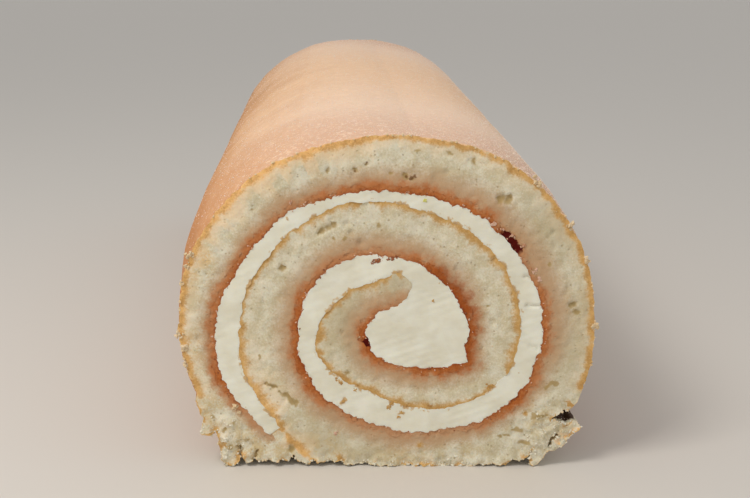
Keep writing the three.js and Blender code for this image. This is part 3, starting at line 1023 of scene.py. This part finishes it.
def attribute(tree, name):
    return add(tree, "ShaderNodeAttribute", attribute_name=name).outputs["Fac"]


def noise_at(tree, place, scale, detail, roughness=0.5):
    inputs = {"Vector": place, "Scale": scale, "Detail": detail, "Roughness": roughness}
    return add(tree, "ShaderNodeTexNoise", inputs).outputs["Fac"]


def cells_at(tree, place, scale):
    """Round cells: how far each place is from its cell's middle, and a random number of the cell."""
    cells = add(tree, "ShaderNodeTexVoronoi", {"Vector": place, "Scale": scale}).outputs
    return cells["Distance"], add(tree, "ShaderNodeSeparateColor", {"Color": cells["Color"]}).outputs[0]


def bump(tree, shader, height, distance, strength=0.8):
    """Roughens a shader by a height; the distance is in mm."""
    made = add(tree, "ShaderNodeBump", {"Height": height, "Strength": strength, "Distance": distance * MM})
    tree.links.new(made.outputs[0], shader.inputs["Normal"])


print("the sponge keeps", sorted(a.name for a in sponge.data.attributes if a.data_type == "FLOAT"))


# %% Start a material, and start a group
def start_material(name, roughness, subsurface=0.0, radius=(1.0, 0.6, 0.35), reach=1.5):
    """A material with a Principled BSDF, whose constant values are set on the shader itself."""
    material = bpy.data.materials.new(name)
    material.use_nodes = True
    shader = material.node_tree.nodes["Principled BSDF"]
    shader.inputs["Roughness"].default_value = roughness
    shader.inputs["Subsurface Weight"].default_value = subsurface
    shader.inputs["Subsurface Radius"].default_value = radius
    shader.inputs["Subsurface Scale"].default_value = reach * MM
    return material, material.node_tree, shader


def new_group(name, inputs, outputs):
    """An empty node group with named sockets, and its two end nodes."""
    tree = bpy.data.node_groups.new(name, "ShaderNodeTree")
    for direction, names in (("INPUT", inputs), ("OUTPUT", outputs)):
        for socket in names:
            kind = "NodeSocketColor" if socket == "Color" else "NodeSocketFloat"
            tree.interface.new_socket(socket, in_out=direction, socket_type=kind)
    print("group", name, "takes", inputs, "and gives", outputs)
    return tree, tree.nodes.new("NodeGroupInput").outputs, tree.nodes.new("NodeGroupOutput").inputs


# %% The group: open crumb
CRUMB_LIGHT, CRUMB_DARK = srgb(224, 217, 195), srgb(201, 189, 156)
PORE_SHADE, CRUMB_GLINT = srgb(160, 142, 104), srgb(240, 233, 213)

foam, foam_in, foam_out = new_group("open crumb", ["Grain", "Openness"], ["Color", "Tone", "Height"])
place = place_on(foam)
per_grain = combine(foam, "DIVIDE", 1000.0, foam_in["Grain"])
fine = noise_at(foam, place, per_grain, 5.0, 0.65)
drift = noise_at(foam, place, times(foam, per_grain, 0.13), 3.0)
tone = plus(foam, times(foam, fine, 0.65), times(foam, drift, 0.65))
tone = minus(foam, tone, 0.15)
distance, chance_here = cells_at(foam, place, times(foam, per_grain, 0.6))
open_limit = minus(foam, 1.0, times(foam, foam_in["Openness"], 0.3))
opened = combine(foam, "GREATER_THAN", chance_here, open_limit)
# Painted shade: open bubbles are painted darker, besides being pressed lower by the bump.
bubbles = times(foam, opened, fade(foam, distance, 0.12, 0.45))
# Painted highlight: a few cells are painted as bright glints.
glints = times(foam, combine(foam, "LESS_THAN", chance_here, 0.1), fade(foam, distance, 0.08, 0.35))
colour = blend(foam, fade(foam, tone, 0.34, 0.66), CRUMB_LIGHT, CRUMB_DARK)
colour = blend(foam, times(foam, bubbles, 0.6), colour, PORE_SHADE)
foam.links.new(blend(foam, times(foam, glints, 0.6), colour, CRUMB_GLINT), foam_out["Color"])
foam.links.new(tone, foam_out["Tone"])
foam.links.new(minus(foam, fine, times(foam, bubbles, 0.7)), foam_out["Height"])
print("node group", foam.name, "with", len(foam.nodes), "nodes")

# %% The group: jam stain
STAIN_STRONG, STAIN_DEEP, STAIN_FAINT = srgb(187, 112, 58), srgb(160, 85, 40), srgb(190, 155, 119)
BLOTCH_SIZE = 1.8  # mm

stain_sockets = ["Color", "Distance", "Amount", "Reach", "Tone"]
stain, stain_in, stain_out = new_group("jam stain", stain_sockets, ["Color"])
wander = about_middle(stain, stain_in["Tone"], 2.6)
away = plus(stain, stain_in["Distance"], wander)
faint = times(stain, fade(stain, combine(stain, "DIVIDE", away, stain_in["Reach"]), 0.3, 1.0), 0.95)
width = plus(stain, times(stain, stain_in["Amount"], 0.55), 0.42)
away = combine(stain, "DIVIDE", away, width)
strong = plus(stain, times(stain, stain_in["Amount"], 0.85), 0.12, clamp=True)
blotches = noise_at(stain, place_on(stain), 1000 / BLOTCH_SIZE, 3.0)
patchy = about_middle(stain, blotches, 3.0)
strong = times(stain, fade(stain, plus(stain, away, patchy), 0.6, 2.9), strong)
colour = blend(stain, faint, stain_in["Color"], STAIN_FAINT)
thick = fade(stain, stain_in["Amount"], 1.6, 0.9)
jam_colour = blend(stain, thick, STAIN_STRONG, STAIN_DEEP)
stain.links.new(blend(stain, strong, colour, jam_colour), stain_out["Color"])
print("node group", stain.name, "with", len(stain.nodes), "nodes")

# %% The group: sugar dust
dust, dust_in, dust_out = new_group("sugar dust", ["Grain", "Cover"], ["Mask"])
place = place_on(dust)
per_grain = combine(dust, "DIVIDE", 1000.0, dust_in["Grain"])
distance, chance_here = cells_at(dust, place, per_grain)
clouds = noise_at(dust, place, times(dust, per_grain, 0.2), 5.0, 0.7)
limit = plus(dust, dust_in["Cover"], minus(dust, clouds, 0.5))
grains_here = times(dust, combine(dust, "LESS_THAN", chance_here, limit), fade(dust, distance, 0.2, 0.5))
dust.links.new(grains_here, dust_out["Mask"])
print("node group", dust.name, "with", len(dust.nodes), "nodes")

# %% [markdown]
# ## The crumb
# Plain sponge is a pale, greyish cream. Three things change it, one over the other: the jam soaks
# in and fades out over some millimetres, the browned face is a golden line, and bubbles are painted a
# touch darker, as painted shade. All three edges are broken up by the foam's own tone, so that no line
# looks drawn. Within a few millimetres of the outer skin the crumb is painted brighter and warmer, as
# painted light; the named pores, cracks and pits are painted darker, as painted shade, and some named
# places are painted darker.

# %% Material of the cut crumb
BROWN_INSIDE, BROWN_OUTSIDE, BROWN_DEEP = srgb(202, 159, 92), srgb(244, 192, 122), srgb(176, 130, 70)
HOLLOW_SHADE, CRUMB_DARKER, PIT_SHADE = srgb(168, 140, 84), srgb(184, 169, 134), srgb(120, 82, 46)
CRUMB_GOLDEN, RIM_LIGHT_TINT = srgb(214, 178, 118), srgb(246, 214, 172)
CRUMB_GRAIN = 0.38  # mm


def foam_of(tree, grain, openness):
    """The colour, tone and height of open crumb."""
    made = add(tree, "ShaderNodeGroup", {"Grain": grain, "Openness": openness}, node_tree=foam).outputs
    return made["Color"], made["Tone"], made["Height"]


def stained_by_jam(tree, colour, tone):
    """A colour under the jam's stain, from the distances kept on the piece."""
    inputs = {"Color": colour, "Distance": attribute(tree, "jam_distance"), "Tone": tone,
              "Amount": attribute(tree, "jam_amount"), "Reach": attribute(tree, "soaked_to")}
    return add(tree, "ShaderNodeGroup", inputs, node_tree=stain).outputs["Color"]


crumb, tree, shader = start_material("sponge crumb", 0.9, subsurface=0.12)
colour, tone, height = foam_of(tree, CRUMB_GRAIN, 0.3)
# Named places where the crumb is painted darker.
darkened = times(tree, attribute(tree, "darkened"), 0.9)
colour = blend(tree, darkened, colour, CRUMB_DARKER)
speckled = times(tree, fade(tree, tone, 0.4, 0.56), attribute(tree, "golden"))
colour = blend(tree, speckled, colour, CRUMB_GOLDEN)
# Painted light: within a few mm of the outer skin the crumb is painted brighter and warmer.
rim_light = fade(tree, attribute(tree, "browning"), 1.0, 5.5)
rim_light = times(tree, times(tree, rim_light, attribute(tree, "outer_skin")), 0.7)
colour = blend(tree, rim_light, colour, RIM_LIGHT_TINT)
colour = stained_by_jam(tree, colour, tone)
# Painted shade: the named pores, the shaded spots and the cracks are painted darker; the streaks take the
# same colour.
shade = rise(tree, attribute(tree, "hollow"), 0.1, 0.9)
colour = blend(tree, times(tree, shade, 0.8), colour, HOLLOW_SHADE)
# Painted shade: the small pits are painted dark brown, with no hole in the relief.
pit = times(tree, fade(tree, attribute(tree, "pits"), 0.7, 0.1), 0.85)
colour = blend(tree, pit, colour, PIT_SHADE)
brown = blend(tree, attribute(tree, "outer_skin"), BROWN_INSIDE, BROWN_OUTSIDE)
brown = blend(tree, times(tree, fade(tree, tone, 0.36, 0.58), 0.6), brown, BROWN_DEEP)
wander = about_middle(tree, tone, 2.0)
browning = fade(tree, plus(tree, attribute(tree, "browning"), wander), 0.3, 1.6)
colour = blend(tree, times(tree, browning, 0.95), colour, brown)
tree.links.new(colour, shader.inputs["Base Color"])
shader.inputs["Specular IOR Level"].default_value = 0.25
bump(tree, shader, height, 0.12)
print("the crumb's material has", len(tree.nodes), "nodes")

# %% [markdown]
# ## The skin
# The skin that was against the tin's paper is thin, soft and peach-gold, deeper at the sides and
# paler on top, and powdered with the sugar that kept it from sticking. Most of the sugar
# is only a pale bloom, so it is in the colour, with some grains that catch the light. Small pits
# roughen it towards the cut ends, and it gives way to bare crumb where it is torn. The walls of the
# gap over the flap are painted near-black, as painted shade.

# %% Material of the skin
# GAP_SHADE is painted shade for the walls of the gap over the flap.
SKIN_PALE, SKIN_DEEP, GAP_SHADE = srgb(248, 205, 161), srgb(194, 133, 79), srgb(76, 50, 30)
SKIN_PIT, SUGAR_WHITE = srgb(182, 114, 68), srgb(246, 228, 216)
SUGARED_SIDE = (0.5, 0.0, 0.86)  # the sugar lies on what faces up and a little to the right
BLOOM_REACH, PITTED_REACH = 108.0, 45.0  # mm from a cut end to where the bloom and the pits have faded
DUST_GRAIN = 0.5  # mm

skin, tree, shader = start_material("golden skin", 0.75, subsurface=0.1)
place = place_on(tree)
patches = noise_at(tree, place, 45.0, 4.0, 0.6)
grain = noise_at(tree, place, 1100.0, 3.0)
normal = add(tree, "ShaderNodeNewGeometry").outputs["Normal"]
facing = add(tree, "ShaderNodeVectorMath", {0: normal, 1: SUGARED_SIDE}, operation="DOT_PRODUCT")
facing = facing.outputs["Value"]
paleness = times(tree, plus(tree, facing, patches), 0.8)
colour = blend(tree, fade(tree, paleness, 0.2, 1.1), SKIN_PALE, SKIN_DEEP)
mottle = times(tree, fade(tree, grain, 0.38, 0.6), 0.1)
colour = blend(tree, mottle, colour, SKIN_DEEP)

near_end = fade(tree, attribute(tree, "from_end"), 0.0, BLOOM_REACH)
cover = plus(tree, times(tree, facing, 0.3), times(tree, near_end, 0.1))
cover = plus(tree, cover, 0.2)
dusted = {"Grain": DUST_GRAIN, "Cover": cover}
sugar_mask = add(tree, "ShaderNodeGroup", dusted, node_tree=dust).outputs["Mask"]
colour = blend(tree, times(tree, sugar_mask, 0.45), colour, SUGAR_WHITE)
speckle = fade(tree, noise_at(tree, place, 520.0, 5.0, 0.65), 0.5, 0.36)
colour = blend(tree, times(tree, speckle, 0.15), colour, SKIN_DEEP)
bloom = plus(tree, times(tree, near_end, 0.35), 0.15)
bloom = times(tree, rise(tree, facing, 0.1, 1.0), bloom)
colour = blend(tree, bloom, colour, SUGAR_WHITE)

pitted = fade(tree, noise_at(tree, place, 1300.0, 4.0, 0.6), 0.46, 0.36)
pitted = times(tree, pitted, fade(tree, attribute(tree, "from_end"), 0.0, PITTED_REACH))
colour = blend(tree, times(tree, pitted, 0.38), colour, SKIN_PIT)
rim = times(tree, fade(tree, attribute(tree, "from_end"), 0.2, 1.2), 0.35)
colour = blend(tree, rim, colour, BROWN_OUTSIDE)

bare_colour = foam_of(tree, 0.4, 0.6)[0]
bareness = minus(tree, attribute(tree, "bare"), times(tree, patches, 0.5))
bareness = rise(tree, bareness, 0.05, 0.3)
colour = blend(tree, bareness, colour, bare_colour)
# Painted shade: the walls of the gap over the flap are painted near-black brown.
pocket = fade(tree, attribute(tree, "pocket"), 0.7, 0.2)
tree.links.new(blend(tree, pocket, colour, GAP_SHADE), shader.inputs["Base Color"])
height = plus(tree, times(tree, grain, 0.7), times(tree, sugar_mask, 0.5))
bump(tree, shader, height, 0.2, 0.4)
shader.inputs["Specular IOR Level"].default_value = 0.3

sponge.data.materials.append(crumb)
sponge.data.materials.append(skin)
print("the skin's material has", len(tree.nodes), "nodes")

# %% [markdown]
# ## The jam's material
# The jam has soaked into the crumb's open cells, so it has the crumb's grain in a strong
# orange-red. Only the lumps are pure jam: dark, wet and glossy.

# %% Material of the jam
JAM_DEEP, JAM_EDGE, JAM_LUMP = srgb(158, 78, 30), srgb(140, 62, 28), srgb(84, 14, 6)
LUMP_WIDTH = 1.5  # mm, measured out from the buttercream

jam_look, tree, shader = start_material("spread jam", 0.6, subsurface=0.1)
colour, tone, height = foam_of(tree, CRUMB_GRAIN, 0.5)
colour = stained_by_jam(tree, colour, tone)
plenty = rise(tree, attribute(tree, "jam_amount"), 0.65, 1.2)
deep = times(tree, fade(tree, tone, 0.36, 0.6), plenty)
colour = blend(tree, times(tree, deep, 0.7), colour, JAM_DEEP)
wander = about_middle(tree, tone, 1.4)
edge = fade(tree, plus(tree, attribute(tree, "jam_distance"), wander), 0.15, 0.6)
edge = times(tree, times(tree, edge, attribute(tree, "jam_amount")), 0.5)
colour = blend(tree, edge, colour, JAM_EDGE)
wet = rise(tree, attribute(tree, "wet"), 0.35, 0.8)
far = plus(tree, attribute(tree, "jam_distance"), wander)
wet = times(tree, wet, fade(tree, far, LUMP_WIDTH - 0.25, LUMP_WIDTH + 0.1))
tree.links.new(blend(tree, wet, colour, JAM_LUMP), shader.inputs["Base Color"])
tree.links.new(minus(tree, 0.7, times(tree, wet, 0.35)), shader.inputs["Roughness"])
shader.inputs["Specular IOR Level"].default_value = 0.08
bump(tree, shader, height, 0.2)
jam.data.materials.append(jam_look)
print("the jam's material has", len(tree.nodes), "nodes")

# %% [markdown]
# ## The buttercream's material
# Buttercream is pale and dense, with a soft glow because light spreads in its fat. Its surface is
# satin, and fine drag marks from the knife break the shine.

# %% Material of the buttercream
CREAM_PALE, CREAM_DEEP = srgb(233, 231, 215), srgb(224, 219, 198)

cream_look, tree, shader = start_material("buttercream", 0.5, 0.25, radius=(1.0, 0.85, 0.6), reach=1.2)
place = place_on(tree)
cloud = fade(tree, noise_at(tree, place, 200.0, 4.0), 0.3, 0.7)
colour = blend(tree, cloud, CREAM_PALE, CREAM_DEEP)
fleck = noise_at(tree, place, 1800.0, 4.0, 0.6)
golden = plus(tree, attribute(tree, "dragged"), about_middle(tree, fleck, 1.6))
golden = rise(tree, golden, 0.3, 0.75)
golden_crumb = blend(tree, fade(tree, fleck, 0.4, 0.6), BROWN_INSIDE, BROWN_DEEP)
colour = blend(tree, times(tree, golden, 0.85), colour, golden_crumb)
tree.links.new(colour, shader.inputs["Base Color"])
turn = (0, math.radians(DRAG_DIRECTION), 0)
stretched = add(tree, "ShaderNodeMapping", {"Vector": place, "Rotation": turn, "Scale": (0.12, 1.0, 1.0)})
marks = noise_at(tree, stretched.outputs[0], 1600.0, 2.0)
drag = plus(tree, marks, times(tree, fleck, plus(tree, golden, 0.4)))
bump(tree, shader, drag, 0.07, 0.35)
cream.data.materials.append(cream_look)
print("the buttercream's material has", len(tree.nodes), "nodes")

# %% [markdown]
# ## Crumbs
# Loose crumbs cling to every cut cake: along the rim, on the sticky cream, and under the torn
# corners. Each is a small ball of noise. The larger ones are bits stuck together, most of them where
# the near end has them. Four kinds are crumbs, pale, torn, browned and stained. Scraps of jam and
# one fleck of lemon zest lie among them. Each kind is joined into one mesh, because thousands of
# tiny objects would be slow, and the export drops instances.

# %% Where the crumbs lie
RIM_CRUMBS = [(-36.7, 42.2, 1.1), (-36.9, 39.4, 0.7), (27.2, 56.1, 1.3), (34.2, 47.8, 1.1), (36.7, 41.0, 1.0),
              (39.2, 28.4, 1.1), (-38.0, 36.5, 0.7), (-38.8, 26.5, 1.0), (-39.5, 23.6, 1.2),
              (-38.8, 20.6, 0.8)]  # x, z, radius
FACE_CRUMBS = [(-29.0, 12.0, 1.0), (-28.2, 11.2, 0.7)]
STAINED_CRUMBS = [(-10.0, 6.8, 0.6), (22.6, 45.3, 0.8), (26.9, 38.6, 0.7), (-17.8, 51.7, 0.6),
                  (18.9, 47.6, 0.8), (24.6, 43.4, 0.8), (20.8, 46.6, 0.6), (27.6, 37.2, 0.6)]
BROWN_CRUMBS = [(0.6, 12.9, 0.6), (0.1, 12.0, 0.5), (3.2, 12.3, 0.5), (2.5, 11.1, 0.45),
                (1.9, 10.1, 0.45), (-8.4, 13.2, 0.45), (-8.9, 16.9, 0.55), (-5.8, 16.4, 0.5),
                (-9.8, 17.6, 0.4), (-6.3, 15.5, 0.4), (7.8, 12.4, 0.5), (8.3, 33.0, 0.35),
                (18.9, 16.2, 0.75)]
RED_CRUMBS = [(-3.0, 40.4, 0.6), (-2.2, 40.6, 0.7), (-1.6, 40.8, 0.5), (0.0, 41.0, 0.6), (0.7, 41.2, 0.6),
              (1.4, 41.3, 0.45)]
ZEST_FLECKS = [(6.5, 52.0, 0.55)]
RANDOM_CRUMBS, RIM_BITS = 16, 80  # loose on each cut face, and round each rim
TORN_CRUMBS = 2200  # on the torn foot
BITS = 7  # stuck together at each named place
JAM_EDGE_BITS = 260  # crumbs and flakes of jam that straddle the jam's edge, at each end
print(len(RIM_CRUMBS) + len(FACE_CRUMBS) + len(STAINED_CRUMBS) + len(BROWN_CRUMBS), "named crumbs")


# %% One crumb, and one mesh of many
def unit_ball(levels):
    """Corners and triangles of a small round ball."""
    mesh = bpy.data.meshes.new("ball")
    ball = bmesh.new()
    bmesh.ops.create_icosphere(ball, subdivisions=levels, radius=1)
    ball.to_mesh(mesh)
    ball.free()
    corners = np.array([v.co for v in mesh.vertices])
    triangles = np.array([list(p.vertices) for p in mesh.polygons])
    bpy.data.meshes.remove(mesh)
    return corners, triangles


def scatter_mesh(name, shapes):
    """One mesh from many (corners in mm, triangles)."""
    spots, faces, first = [], [], 0
    for corners, triangles in shapes:
        spots.append(corners)
        faces.append(triangles + first)
        first += len(corners)
    mesh = bpy.data.meshes.new(name)
    mesh.from_pydata((np.concatenate(spots) * MM).tolist(), [], np.concatenate(faces).tolist())
    print(name, "has", len(shapes), "grains and", len(mesh.polygons), "triangles")
    return put(name, mesh)


BALL = unit_ball(1)


def crumb_ball(at, radius, chance, flatness=1.0):
    """A lumpy crumb, stretched and turned at random, and pressed flat along the roll."""
    corners, triangles = BALL
    turned = np.array(Euler(chance.uniform(0, 6.28, 3)).to_matrix())
    lumpy = corners * (1 + 0.9 * rough(corners + chance.uniform(0, 50, 3), 0.8, 80, 2))[:, None]
    shape = (lumpy * chance.uniform(0.5, 1.1, 3)) @ turned.T * radius
    return shape * [1, flatness, 1] + at, triangles


print("a crumb is made of", len(BALL[1]), "triangles")

# %% Crumbs on a cut face
cut_spots, cut_trees = {}, {}
for end, y in BOTH_ENDS:
    layers = ((sponge, ends), (jam, jam_ends), (cream, cream_ends))
    cut_spots[end] = np.concatenate([spots_of(piece)[where == end] for piece, where in layers])
    cut_trees[end] = tree_of(cut_spots[end][:, [0, 2]])


def crumb_group(places, end, chance, flatness=1.0):
    """A few bits stuck together at each place (x, z, radius), half sunk in the cut face."""
    bits = []
    for x, z, radius in places:
        for _ in range(BITS):
            turn, away = chance.uniform(0, 2 * math.pi), radius * chance.uniform(0, 0.8)
            at_x, at_z = x + away * math.cos(turn), z + away * math.sin(turn)
            number = cut_trees[end].find((at_x, at_z, 0))[1]
            at = np.array([at_x, cut_spots[end][number, 1], at_z])
            bits.append(crumb_ball(at, radius * chance.uniform(0.25, 0.6), chance, flatness))
    return bits


def rim_spots(end):
    """The sponge's points on the rim of one cut face, above the table."""
    cut = spot[(ends == end) & (spot[:, 2] > 1)]
    outline = outside_line(end * LENGTH / 2)
    return cut[nearest(tree_of(outline), cut[:, [0, 2]])[1] < 0.01]


def on_rim(places, end):
    """The same places, moved onto the nearest point of the rim."""
    rim = rim_spots(end)[:, [0, 2]]
    numbers = nearest(tree_of(rim), np.array(places)[:, :2])[0]
    return [(x, z, place[2]) for (x, z), place in zip(rim[numbers], places)]


print(len(rim_spots(-1)), "points on the rim of the near end")

# %% Make the crumbs
chance = np.random.default_rng(7)
pale = crumb_group(on_rim(RIM_CRUMBS, -1), -1, chance) + crumb_group(FACE_CRUMBS, -1, chance)
brown = crumb_group(BROWN_CRUMBS, -1, chance, flatness=0.35)
brown += crumb_group([(8 - 0.8 * x, z, r) for x, z, r in BROWN_CRUMBS], 1, chance, flatness=0.35)
red = crumb_group(RED_CRUMBS, -1, chance, flatness=0.6)
stained = crumb_group(STAINED_CRUMBS, -1, chance, flatness=0.6)
zest = crumb_group(ZEST_FLECKS, -1, chance, flatness=0.5)
for end, y in BOTH_ENDS:
    for at in chance.choice(cut_spots[end], RANDOM_CRUMBS):
        pale.append(crumb_ball(at, chance.uniform(0.1, 0.22), chance))
    for at in chance.choice(rim_spots(end), RIM_BITS):
        pale.append(crumb_ball(at, chance.uniform(0.15, 0.35), chance))
    edge_windings = chance.choice(jam_windings, JAM_EDGE_BITS)
    offsets = chance.uniform(-0.15, 0.7, JAM_EDGE_BITS)
    for winding, (x, z) in zip(edge_windings, spread_line(edge_windings, y, offset=offsets)):
        number = cut_trees[end].find((x, z, 0))[1]
        bit = crumb_ball(cut_spots[end][number], chance.uniform(0.1, 0.26), chance, flatness=0.6)
        (red if chance.uniform() < 0.2 + 0.3 * jam_amount(winding) else stained).append(bit)
torn_weight = np.clip(torn_share(flats) - 0.4, 0, 1) * np.where(ends == 0, bare, 1) * (in_pocket < 0.1)
fuzz = []
for number in chance.choice(len(spot), TORN_CRUMBS, p=torn_weight / torn_weight.sum()):
    sunk = spot[number] + [0, 0.1 * (ends[number] == -1) - 0.1 * (ends[number] == 1), 0]
    fuzz.append(crumb_ball(sunk, chance.uniform(0.14, 0.36), chance))
crumbs = scatter_mesh("loose_crumbs", pale)
torn_crumbs = scatter_mesh("torn_crumbs", fuzz)
brown_crumbs = scatter_mesh("browned_crumbs", brown)
red_crumbs = scatter_mesh("jam_flakes", red)
stained_crumbs = scatter_mesh("stained_crumbs", stained)
zest_fleck = scatter_mesh("zest_fleck", zest)

# %% [markdown]
# ## The crumbs' materials
# A crumb is the same foam as the cake, so all six kinds start from the foam group. What differs is
# the colour laid over it: warm for what fell from the browned rim, white where the torn inside
# shows, pink where jam has run in, golden for dragged skin, dark red for a flake of pure jam, and
# yellow for the one fleck of lemon zest.

# %% Materials of the crumbs
CRUMB_WARM, CRUMB_WHITE = srgb(230, 190, 138), srgb(240, 232, 212)
CRUMB_STAINED, CRUMB_PINK = srgb(196, 138, 100), srgb(222, 184, 160)
ZEST_GREEN, ZEST_YELLOW = srgb(206, 206, 96), srgb(236, 224, 130)
LOOSE_OPENNESS, LOOSE_BUMP = 0.5, 0.2  # a share, and mm


def finish_crumbs(piece, name, roughness, subsurface, colour_over, bump_depth=LOOSE_BUMP):
    """A crumb's material: colour_over(tree, colour, tone) lays its own colour over the foam's."""
    look, tree, shader = start_material(name, roughness, subsurface)
    colour, tone, height = foam_of(tree, CRUMB_GRAIN, LOOSE_OPENNESS)
    tree.links.new(colour_over(tree, colour, tone), shader.inputs["Base Color"])
    if bump_depth:
        bump(tree, shader, height, bump_depth)
    piece.data.materials.append(look)
    print(piece.name, "wears", look.name)


def torn_colour(tree, colour, tone):
    colour = blend(tree, times(tree, fade(tree, tone, 0.56, 0.38), 0.8), colour, CRUMB_WHITE)
    return blend(tree, times(tree, fade(tree, tone, 0.38, 0.5), 0.3), colour, CRUMB_GOLDEN)


finish_crumbs(crumbs, "loose crumb", 0.9, 0.12,
              lambda tree, colour, tone: blend(tree, 0.55, colour, CRUMB_WARM))
finish_crumbs(stained_crumbs, "stained crumb", 0.85, 0.12,
              lambda tree, colour, tone: blend(tree, fade(tree, tone, 0.56, 0.36), CRUMB_STAINED, CRUMB_PINK))
finish_crumbs(torn_crumbs, "torn crumb", 0.9, 0.12, torn_colour)
finish_crumbs(brown_crumbs, "golden crumb", 0.85, 0.0,
              lambda tree, colour, tone: blend(tree, fade(tree, tone, 0.35, 0.65), BROWN_INSIDE, BROWN_DEEP))
finish_crumbs(red_crumbs, "jam flake", 0.35, 0.0,
              lambda tree, colour, tone: blend(tree, tone, JAM_LUMP, STAIN_STRONG))
finish_crumbs(zest_fleck, "lemon zest", 0.5, 0.2,
              lambda tree, colour, tone: blend(tree, tone, ZEST_GREEN, ZEST_YELLOW), bump_depth=0.0)

# %% [markdown]
# ## Sugar
# Fine sugar keeps the skin from sticking as the cake is rolled. Each grain is a small crystal with
# eight faces, lying on the skin where a random draw puts it, and more of them near the ends, where
# the knife shook them down.

# %% Make the sugar grains
SUGAR_GRAINS = 16000
SUGAR_SIZES = (0.05, 0.13)  # mm, half across
SUGAR_GOLDEN = srgb(240, 216, 194)
OCTAHEDRON = (np.array([(1, 0, 0), (-1, 0, 0), (0, 1, 0), (0, -1, 0), (0, 0, 1), (0, 0, -1)], float),
              np.array([(0, 2, 4), (2, 1, 4), (1, 3, 4), (3, 0, 4),
                        (2, 0, 5), (1, 2, 5), (3, 1, 5), (0, 3, 5)]))


def read_faces(key, width):
    """One kind of value of the sponge's skin faces, each with so many numbers."""
    values = np.zeros(len(sponge.data.polygons) * width)
    sponge.data.polygons.foreach_get(key, values)
    return values.reshape(-1, width)[skin_faces]


chance = np.random.default_rng(11)
skin_faces = np.arange(cut_count, len(sponge.data.polygons))[np.array(walls) == 0]
face_centres, face_normals = read_faces("center", 3), read_faces("normal", 3)
face_areas = read_faces("area", 1)[:, 0]
top = np.clip(0.25 + 0.75 * (face_normals @ SUGARED_SIDE), 0.02, 1)
weight = face_areas * top * (1 + 2 * np.exp(-(LENGTH / 2 - np.abs(face_centres[:, 1] / MM)) / 30))
weight *= face_centres[:, 2] / MM > 3
picks = chance.choice(len(skin_faces), SUGAR_GRAINS, p=weight / weight.sum())
corner_numbers = np.array([list(sponge.data.polygons[int(skin_faces[i])].vertices) for i in picks])
u, v = chance.uniform(0, 1, (2, SUGAR_GRAINS, 1))
corners = spot[corner_numbers]
places = (corners[:, 0] * (1 - u) * (1 - v) + corners[:, 1] * u * (1 - v)
          + corners[:, 2] * u * v + corners[:, 3] * (1 - u) * v)
sizes = chance.uniform(*SUGAR_SIZES, SUGAR_GRAINS)
places += face_normals[picks] * (sizes * 0.45)[:, None]
grains = []
for place, size in zip(places, sizes):
    turned = np.array(Euler(chance.uniform(0, 6.28, 3)).to_matrix())
    grains.append(((OCTAHEDRON[0] * chance.uniform(0.7, 1.2, 3) * size) @ turned.T + place, OCTAHEDRON[1]))
sugar = scatter_mesh("sugar_grains", grains)

sugar_look, tree, shader = start_material("sugar", 0.35, subsurface=0.2, reach=0.3)
shimmer = noise_at(tree, place_on(tree), 2500.0, 2.0)
tree.links.new(blend(tree, shimmer, SUGAR_WHITE, SUGAR_GOLDEN), shader.inputs["Base Color"])
sugar.data.materials.append(sugar_look)

# %% [markdown]
# ## Floor and light
# A plain pale floor and soft studio light. The key is a small softbox at the upper left, in front
# of the roll. A broad, weak fill further off lights the cut face evenly, and a pale surround keeps
# the shadows open.

# %% Floor, lights and surround
FLOOR_HALF = 6.0  # m
floor_mesh = bpy.data.meshes.new("floor")
floor_mesh.from_pydata([(-FLOOR_HALF, -FLOOR_HALF, 0), (FLOOR_HALF, -FLOOR_HALF, 0),
                        (FLOOR_HALF, FLOOR_HALF, 0), (-FLOOR_HALF, FLOOR_HALF, 0)], [], [(0, 1, 2, 3)])
floor = put("floor", floor_mesh)
floor_look, _, shader = start_material("pale floor", 0.6)
shader.inputs["Base Color"].default_value = srgb(214, 208, 200)
floor.data.materials.append(floor_look)


def softbox(name, place, target, size, power, colour):
    """A square area light in mm, aimed at a point."""
    light = bpy.data.lights.new(name, "AREA")
    light.shape, light.size, light.energy, light.color = "SQUARE", size * MM, power, colour
    lamp = put(name, light)
    lamp.location = Vector(place) * MM
    aim = (Vector(target) - Vector(place)).to_track_quat("-Z", "Y")
    lamp.rotation_euler = aim.to_euler()
    print(name, "shines from", place, "on", target)


softbox("key", (-240, -290, 400), (0, -80, 30), 160, 1.2, (1.0, 0.96, 0.9))
softbox("front fill", (60, -900, 420), (0, -60, 20), 520, 0.3, (1.0, 0.98, 0.95))
world = bpy.data.worlds.new("surround")
bpy.context.scene.world = world
world.use_nodes = True
world.node_tree.nodes["Background"].inputs["Color"].default_value = (0.93, 0.93, 0.93, 1)
world.node_tree.nodes["Background"].inputs["Strength"].default_value = 0.6
bpy.context.scene.view_settings.view_transform = "Standard"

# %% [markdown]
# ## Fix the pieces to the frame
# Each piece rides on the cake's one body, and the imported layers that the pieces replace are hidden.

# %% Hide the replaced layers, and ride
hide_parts("sponge")
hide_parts("jam")
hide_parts("buttercream")
for piece, slot in ((sponge, "sponge"), (jam, "jam"), (cream, "buttercream"), (crumbs, "sponge"),
                    (torn_crumbs, "sponge"), (brown_crumbs, "sponge"), (red_crumbs, "jam"),
                    (stained_crumbs, "sponge"), (zest_fleck, "jam"), (sugar, "sugar")):
    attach(piece, "root")
